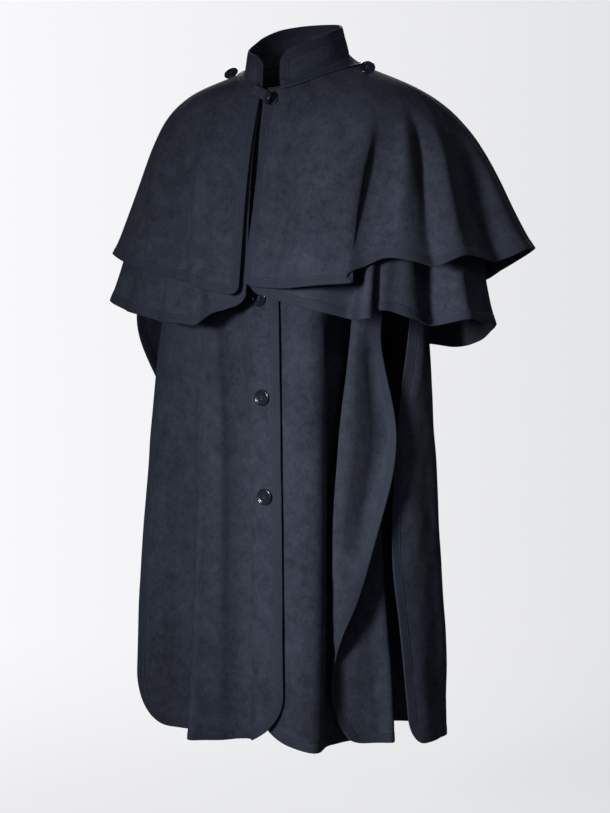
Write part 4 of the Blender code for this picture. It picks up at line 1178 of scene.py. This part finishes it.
def button_template(radius):
    """Vertices and faces of one button, lying flat with its back at height 0."""
    turns = np.linspace(0, 2 * math.pi, BUTTON_SIDES, endpoint=False)
    vertices = []
    for ring in BUTTON_RINGS:
        vertices += circle(radius * ring.share, turns, ring.height)
    faces = grid_faces(len(BUTTON_RINGS), BUTTON_SIDES, wrap=True).tolist()
    faces.append(tuple(range(BUTTON_SIDES))[::-1])
    # Each quarter of the dished face is a web from the last ring to its own hole.
    last = (len(BUTTON_RINGS) - 1) * BUTTON_SIDES
    face_height = BUTTON_RINGS[-1].height
    centre = len(vertices)
    vertices.append((0.0, 0.0, face_height))
    spokes = []
    for q in range(4):
        spokes.append([len(vertices) + k for k in range(len(SPOKES))])
        for share in SPOKES:
            vertices += circle(radius * share, [q * math.pi / 2], face_height)
    quarter = BUTTON_SIDES // 4
    for q in range(4):
        turn = (q + 0.5) * math.pi / 2
        x, y, _ = circle(radius * HOLE_REACH, [turn], 0.0)[0]
        outline = [last + (q * quarter + k) % BUTTON_SIDES for k in range(quarter + 1)]
        outline += spokes[(q + 1) % 4] + [centre] + spokes[q][::-1]
        where = [math.atan2(vertices[i][1] - y, vertices[i][0] - x) for i in outline]
        top = len(vertices)
        count = len(outline)
        foot = top + count
        for height in (face_height, face_height - HOLE_DEPTH):
            vertices += circle(radius * HOLE_RADIUS, where, height, x, y)
        for k in range(count):
            m = (k + 1) % count
            faces.append((outline[k], outline[m], top + m, top + k))
            faces.append((top + k, top + m, foot + m, foot + k))
        faces.append(tuple(range(foot, foot + count)))
    return vertices, faces


def thread_bars(radius, raised):
    """Lines of the sewing thread: two bars over the button's middle and the shank under it."""
    reach = radius * HOLE_REACH * math.sqrt(0.5)
    steps = np.linspace(-1, 1, BAR_STEPS)
    bow = BUTTON_RINGS[-1].height + BAR_RISE - BAR_SINK * np.abs(steps) ** 4
    shank = np.linspace(SHANK_TOP, -SHANK - raised, SHANK_STEPS)
    lines = []
    for side in (-1, 1):
        for strand in range(BAR_STRANDS):
            place = strand - (BAR_STRANDS - 1) / 2
            off = side * reach + place * STRAND_GAP
            lines.append(np.stack([steps * (reach + BAR_OVERRUN), np.full_like(steps, off),
                                   bow + BAR_UNEVEN * (strand % 2)], 1))
            lines.append(np.stack([np.full_like(shank, place * SHANK_GAP),
                                   np.full_like(shank, off * SHANK_NARROWS), shank], 1))
    return lines


def tube(name, lines, radius, material):
    """Thin round strands along lines of points, in millimetres, as one object."""
    vertices, faces = [], []
    turns = [2 * math.pi * k / THREAD_SIDES for k in range(THREAD_SIDES)]
    for line in lines:
        tangent = unit(np.gradient(line, axis=0))
        upright = abs(tangent[:, 2]).mean() >= UPRIGHT
        helper = np.array([1.0, 0.0, 0.0] if upright else [0.0, 0.0, 1.0])
        first = unit(np.cross(tangent, helper))
        second = np.cross(tangent, first)
        start = len(vertices)
        for point, u, v in zip(line, first, second):
            vertices += [tuple((point + (u * math.cos(turn) + v * math.sin(turn)) * radius) * MM)
                         for turn in turns]
        faces += (grid_faces(len(line), THREAD_SIDES, wrap=True) + start).tolist()
        faces.append(tuple(range(start, start + THREAD_SIDES))[::-1])
        faces.append(tuple(range(len(vertices) - THREAD_SIDES, len(vertices))))
    return add_mesh(name, vertices, faces, material)


for node in sorted(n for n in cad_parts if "button" in n):
    solid = bpy.data.objects[node]
    spots = np.array([solid.matrix_world @ vertex.co for vertex in solid.data.vertices]) / MM
    middle = spots.mean(axis=0)
    axes = np.linalg.eigh(np.cov((spots - middle).T))[1]
    facing = Vector(axes[:, 0])
    outward = Vector((0, -1, 0))
    if "shoulder" in node:
        outward = Vector((middle[0], middle[1], SHOULDER_UP))
    if facing.dot(outward) < 0:
        facing = -facing
    heights = (spots - middle) @ np.array(facing)
    on_back = middle + np.array(facing) * heights.min()
    radius = np.linalg.norm(np.cross(spots - on_back, np.array(facing)), axis=1).max()
    seat, raised = Vector(on_back), 0.0
    for word, lean in LEANS.items():
        if word in node:
            toward = Vector(lean.toward)
            toward = (toward - facing * toward.dot(facing)).normalized()
            raised = radius * math.sin(lean.turn) * lean.lift
            seat += facing * raised
            facing = facing * math.cos(lean.turn) + toward * math.sin(lean.turn)
    turn = Matrix.Rotation(BUTTON_TURN * math.sin(middle[2]), 3, "Z")
    place = facing.to_track_quat("Z", "Y").to_matrix() @ turn
    vertices, faces = button_template(radius)
    turned = add_mesh(node + "_turned", [(seat + place @ Vector(v)) * MM for v in vertices],
                      faces, navy_plastic)
    turned.data.set_sharp_from_angle(angle=BUTTON_SHARP)
    stand_for(turned, node)
    lines = [np.array([seat + place @ Vector(point) for point in line])
             for line in thread_bars(radius, raised)]
    bars = tube(node + "_thread", lines, BAR_THREAD, thread)
    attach(bars, "root")
